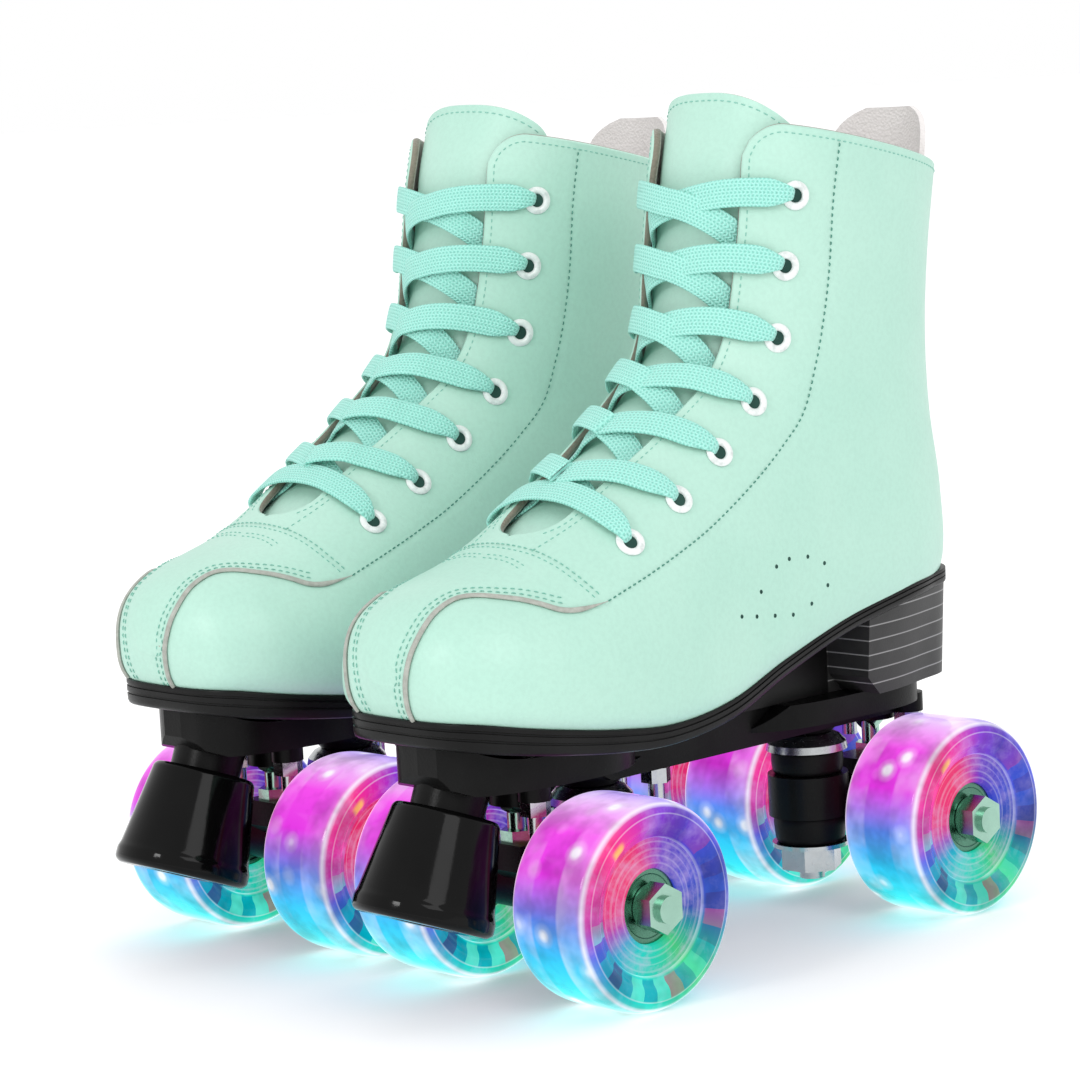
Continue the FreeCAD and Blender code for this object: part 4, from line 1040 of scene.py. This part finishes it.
def wheels(side):
    for end_name, end in ENDS:
        for hand_name, hand in (("outer", 1), ("inner", -1)):
            label = "%s_%s" % (end_name, hand_name)
            centre = (hand * WHEEL_X, end * AXLE_Y, AXLE_Z)
            for node, half, material, name, slot in (("tyre", TYRE_HALF, TYRE, "urethane", "tyre"),
                                                     ("wheel_core", CORE_HALF, CORE, "light_core", "core")):
                profile = half + [(r, -h) for r, h in half[::-1]]
                points, faces = turned(rounded(profile, 0.35), centre, (1, 0, 0), 120)
                place("%s_%s" % (label, name), side, points, faces, material, slot, ["%s_%s" % (label, node)],
                      label + "_wheel", wheel_attributes(points, centre), sharp=45)


def bearings(side):
    """Bearings with a recessed shield between their two races."""
    profile = rounded([(4.02, 0), (6.0, 0), (6.2, -0.35), (9.2, -0.35), (9.4, 0), (10.95, 0), (10.95, -7),
                       (4.02, -7)], 0.2)
    for end_name, end in ENDS:
        rings = []
        for wheel in (-1, 1):
            for hand in (-1, 1):
                face = (wheel * WHEEL_X + hand * 11.0, end * AXLE_Y, AXLE_Z)
                rings.append(turned(profile, face, (hand, 0, 0), 64))
        place(end_name + "_shielded_bearings", side, *joined(rings), BEARING, "bearing",
              [end_name + "_bearings"], end_name + "_truck")


def toe_stop(side):
    """Turned rubber stop with a softly rounded foot."""
    top, foot = np.array(STOP_TOP), np.array(STOP_FOOT)
    down = foot - top
    length = np.linalg.norm(down)
    profile = [(4.1, 0), (15.0, 0), (16.0, 1.2), (20.2, length - 6.5), (20.9, length - 4.8),
               (20.9, length - 1.4), (19.3, length), (9.0, length), (9.0, length - 9), (4.1, length - 9)]
    place("toe_stop_rubber", side, *turned(rounded(profile, 1.1, 5), top, down, 96), STOP, "stop",
          ["toe_stop"], sharp=50)


def cushions(side):
    """Barrel and cone cushions of each kingpin; they are built fixed in place, so they don't give as the
    truck steers.
    """
    for end_name, end in ENDS:
        node = "%s_%s_cushions" % (side, end_name)
        low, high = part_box(node)
        middle = (low + high) / 2
        pin = end * abs(middle.y / MM - SKATE_Y)
        for name, bottom, top, fixed in (("upper", 44.8, 54.4, 54.4), ("lower", 22.8, 31.3, 22.8)):
            outside = [(10.6, bottom), (11.2, bottom + 1.2), (11.5, bottom + 4), (11.3, top - 2.6),
                       (8.8, top)]
            if name == "lower":
                outside = [(10.4, bottom), (11.0, bottom + 1.2), (11.5, top - 2), (11.2, top)]
            profile = rounded([(4.4, bottom)] + outside + [(4.4, top)], 0.6)
            points, faces = turned(profile, (0, pin, 0), (0, 0, 1), 48)
            obj = place("%s_%s_cushion" % (end_name, name), side, points, faces, CUSHION, "cushion",
                        [end_name + "_cushions"], None)
            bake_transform(obj)


# ---- finish of the parts that keep their solid's shape ------------------------------------------------
FINISHES = {"heel_block": HEEL, "plate": PLATE, "mounting_bolts": STEEL, "kingpins": STEEL, "hanger": PLATE,
            "truck_hardware": AXLE_STEEL, "insole": LINING}


def finish_solids():
    for name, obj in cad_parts.items():
        key = name.split("_", 1)[1].replace("front_", "").replace("rear_", "")
        if key in FINISHES:
            obj.data.materials.clear()
            obj.data.materials.append(FINISHES[key])


# ---- floor, light and camera --------------------------------------------------------------------------
def floor():
    mesh = bpy.data.meshes.new("floor")
    half = 40.0
    corners = [(-half, -half, 0), (half, -half, 0), (half, half, 0), (-half, half, 0)]
    mesh.from_pydata(corners, [], [(0, 1, 2, 3)])
    obj = bpy.data.objects.new("floor", mesh)
    bpy.context.scene.collection.objects.link(obj)
    g = Graph("pale_floor")
    speckle = g.noise(900, 3)
    g.surface(Base_Color=g.between(speckle, 0.88, 0.92), Roughness=0.8, Emission_Color=(1.0, 1.0, 1.0),
              Emission_Strength=0.16, Normal=g.bump(speckle, 0.05, 0.0005))
    mesh.materials.append(g.material)


def area_light(name, place_at, target, size, power):
    light = bpy.data.lights.new(name, "AREA")
    light.size = size
    light.energy = power
    obj = bpy.data.objects.new(name, light)
    obj.location = place_at
    obj.rotation_euler = (Vector(target) - Vector(place_at)).to_track_quat("-Z", "Y").to_euler()
    bpy.context.scene.collection.objects.link(obj)


def lighting():
    world = bpy.data.worlds.new("studio")
    world.use_nodes = True
    world.node_tree.nodes["Background"].inputs["Color"].default_value = (1.0, 1.0, 1.0, 1)
    world.node_tree.nodes["Background"].inputs["Strength"].default_value = 1.0
    bpy.context.scene.world = world
    middle = (0, 0, 0.13)
    area_light("key", (1.5, -0.5, 1.2), middle, 0.9, 7)
    area_light("front", (0.1, -1.5, 0.8), middle, 0.30, 5)
    area_light("rim", (-0.7, 1.2, 1.2), middle, 1.0, 3)


CAMERA_AZIMUTH, CAMERA_ELEVATION, CAMERA_ROLL = 47.14, 7.33, -3.10
CAMERA_DISTANCE, CAMERA_LENS = 0.831, 117.5
CAMERA_TARGET = (SKATE_X + 146.1, SKATE_Y - 198.3, 158.5)


def camera():
    a, e, r = (math.radians(v) for v in (CAMERA_AZIMUTH, CAMERA_ELEVATION, CAMERA_ROLL))
    back = Vector((math.sin(a) * math.cos(e), -math.cos(a) * math.cos(e), math.sin(e)))
    right = Vector((math.cos(a), math.sin(a), 0))
    up = back.cross(right)
    right, up = right * math.cos(r) + up * math.sin(r), up * math.cos(r) - right * math.sin(r)
    data = bpy.data.cameras.new("camera")
    data.sensor_width = 36
    data.lens = CAMERA_LENS
    obj = bpy.data.objects.new("camera", data)
    place_at = Vector(CAMERA_TARGET) * MM + back * CAMERA_DISTANCE
    obj.matrix_world = Matrix.Translation(place_at) @ Matrix((right, up, back)).transposed().to_4x4()
    bpy.context.scene.collection.objects.link(obj)
    bpy.context.scene.camera = obj


for side_name in ("left", "right"):
    for build in (upper, tongue, heel_tab, sole, eyelets, laces, wheels, bearings, toe_stop, cushions):
        build(side_name)
finish_solids()
floor()
lighting()
camera()
bpy.context.scene.view_settings.view_transform = "Standard"
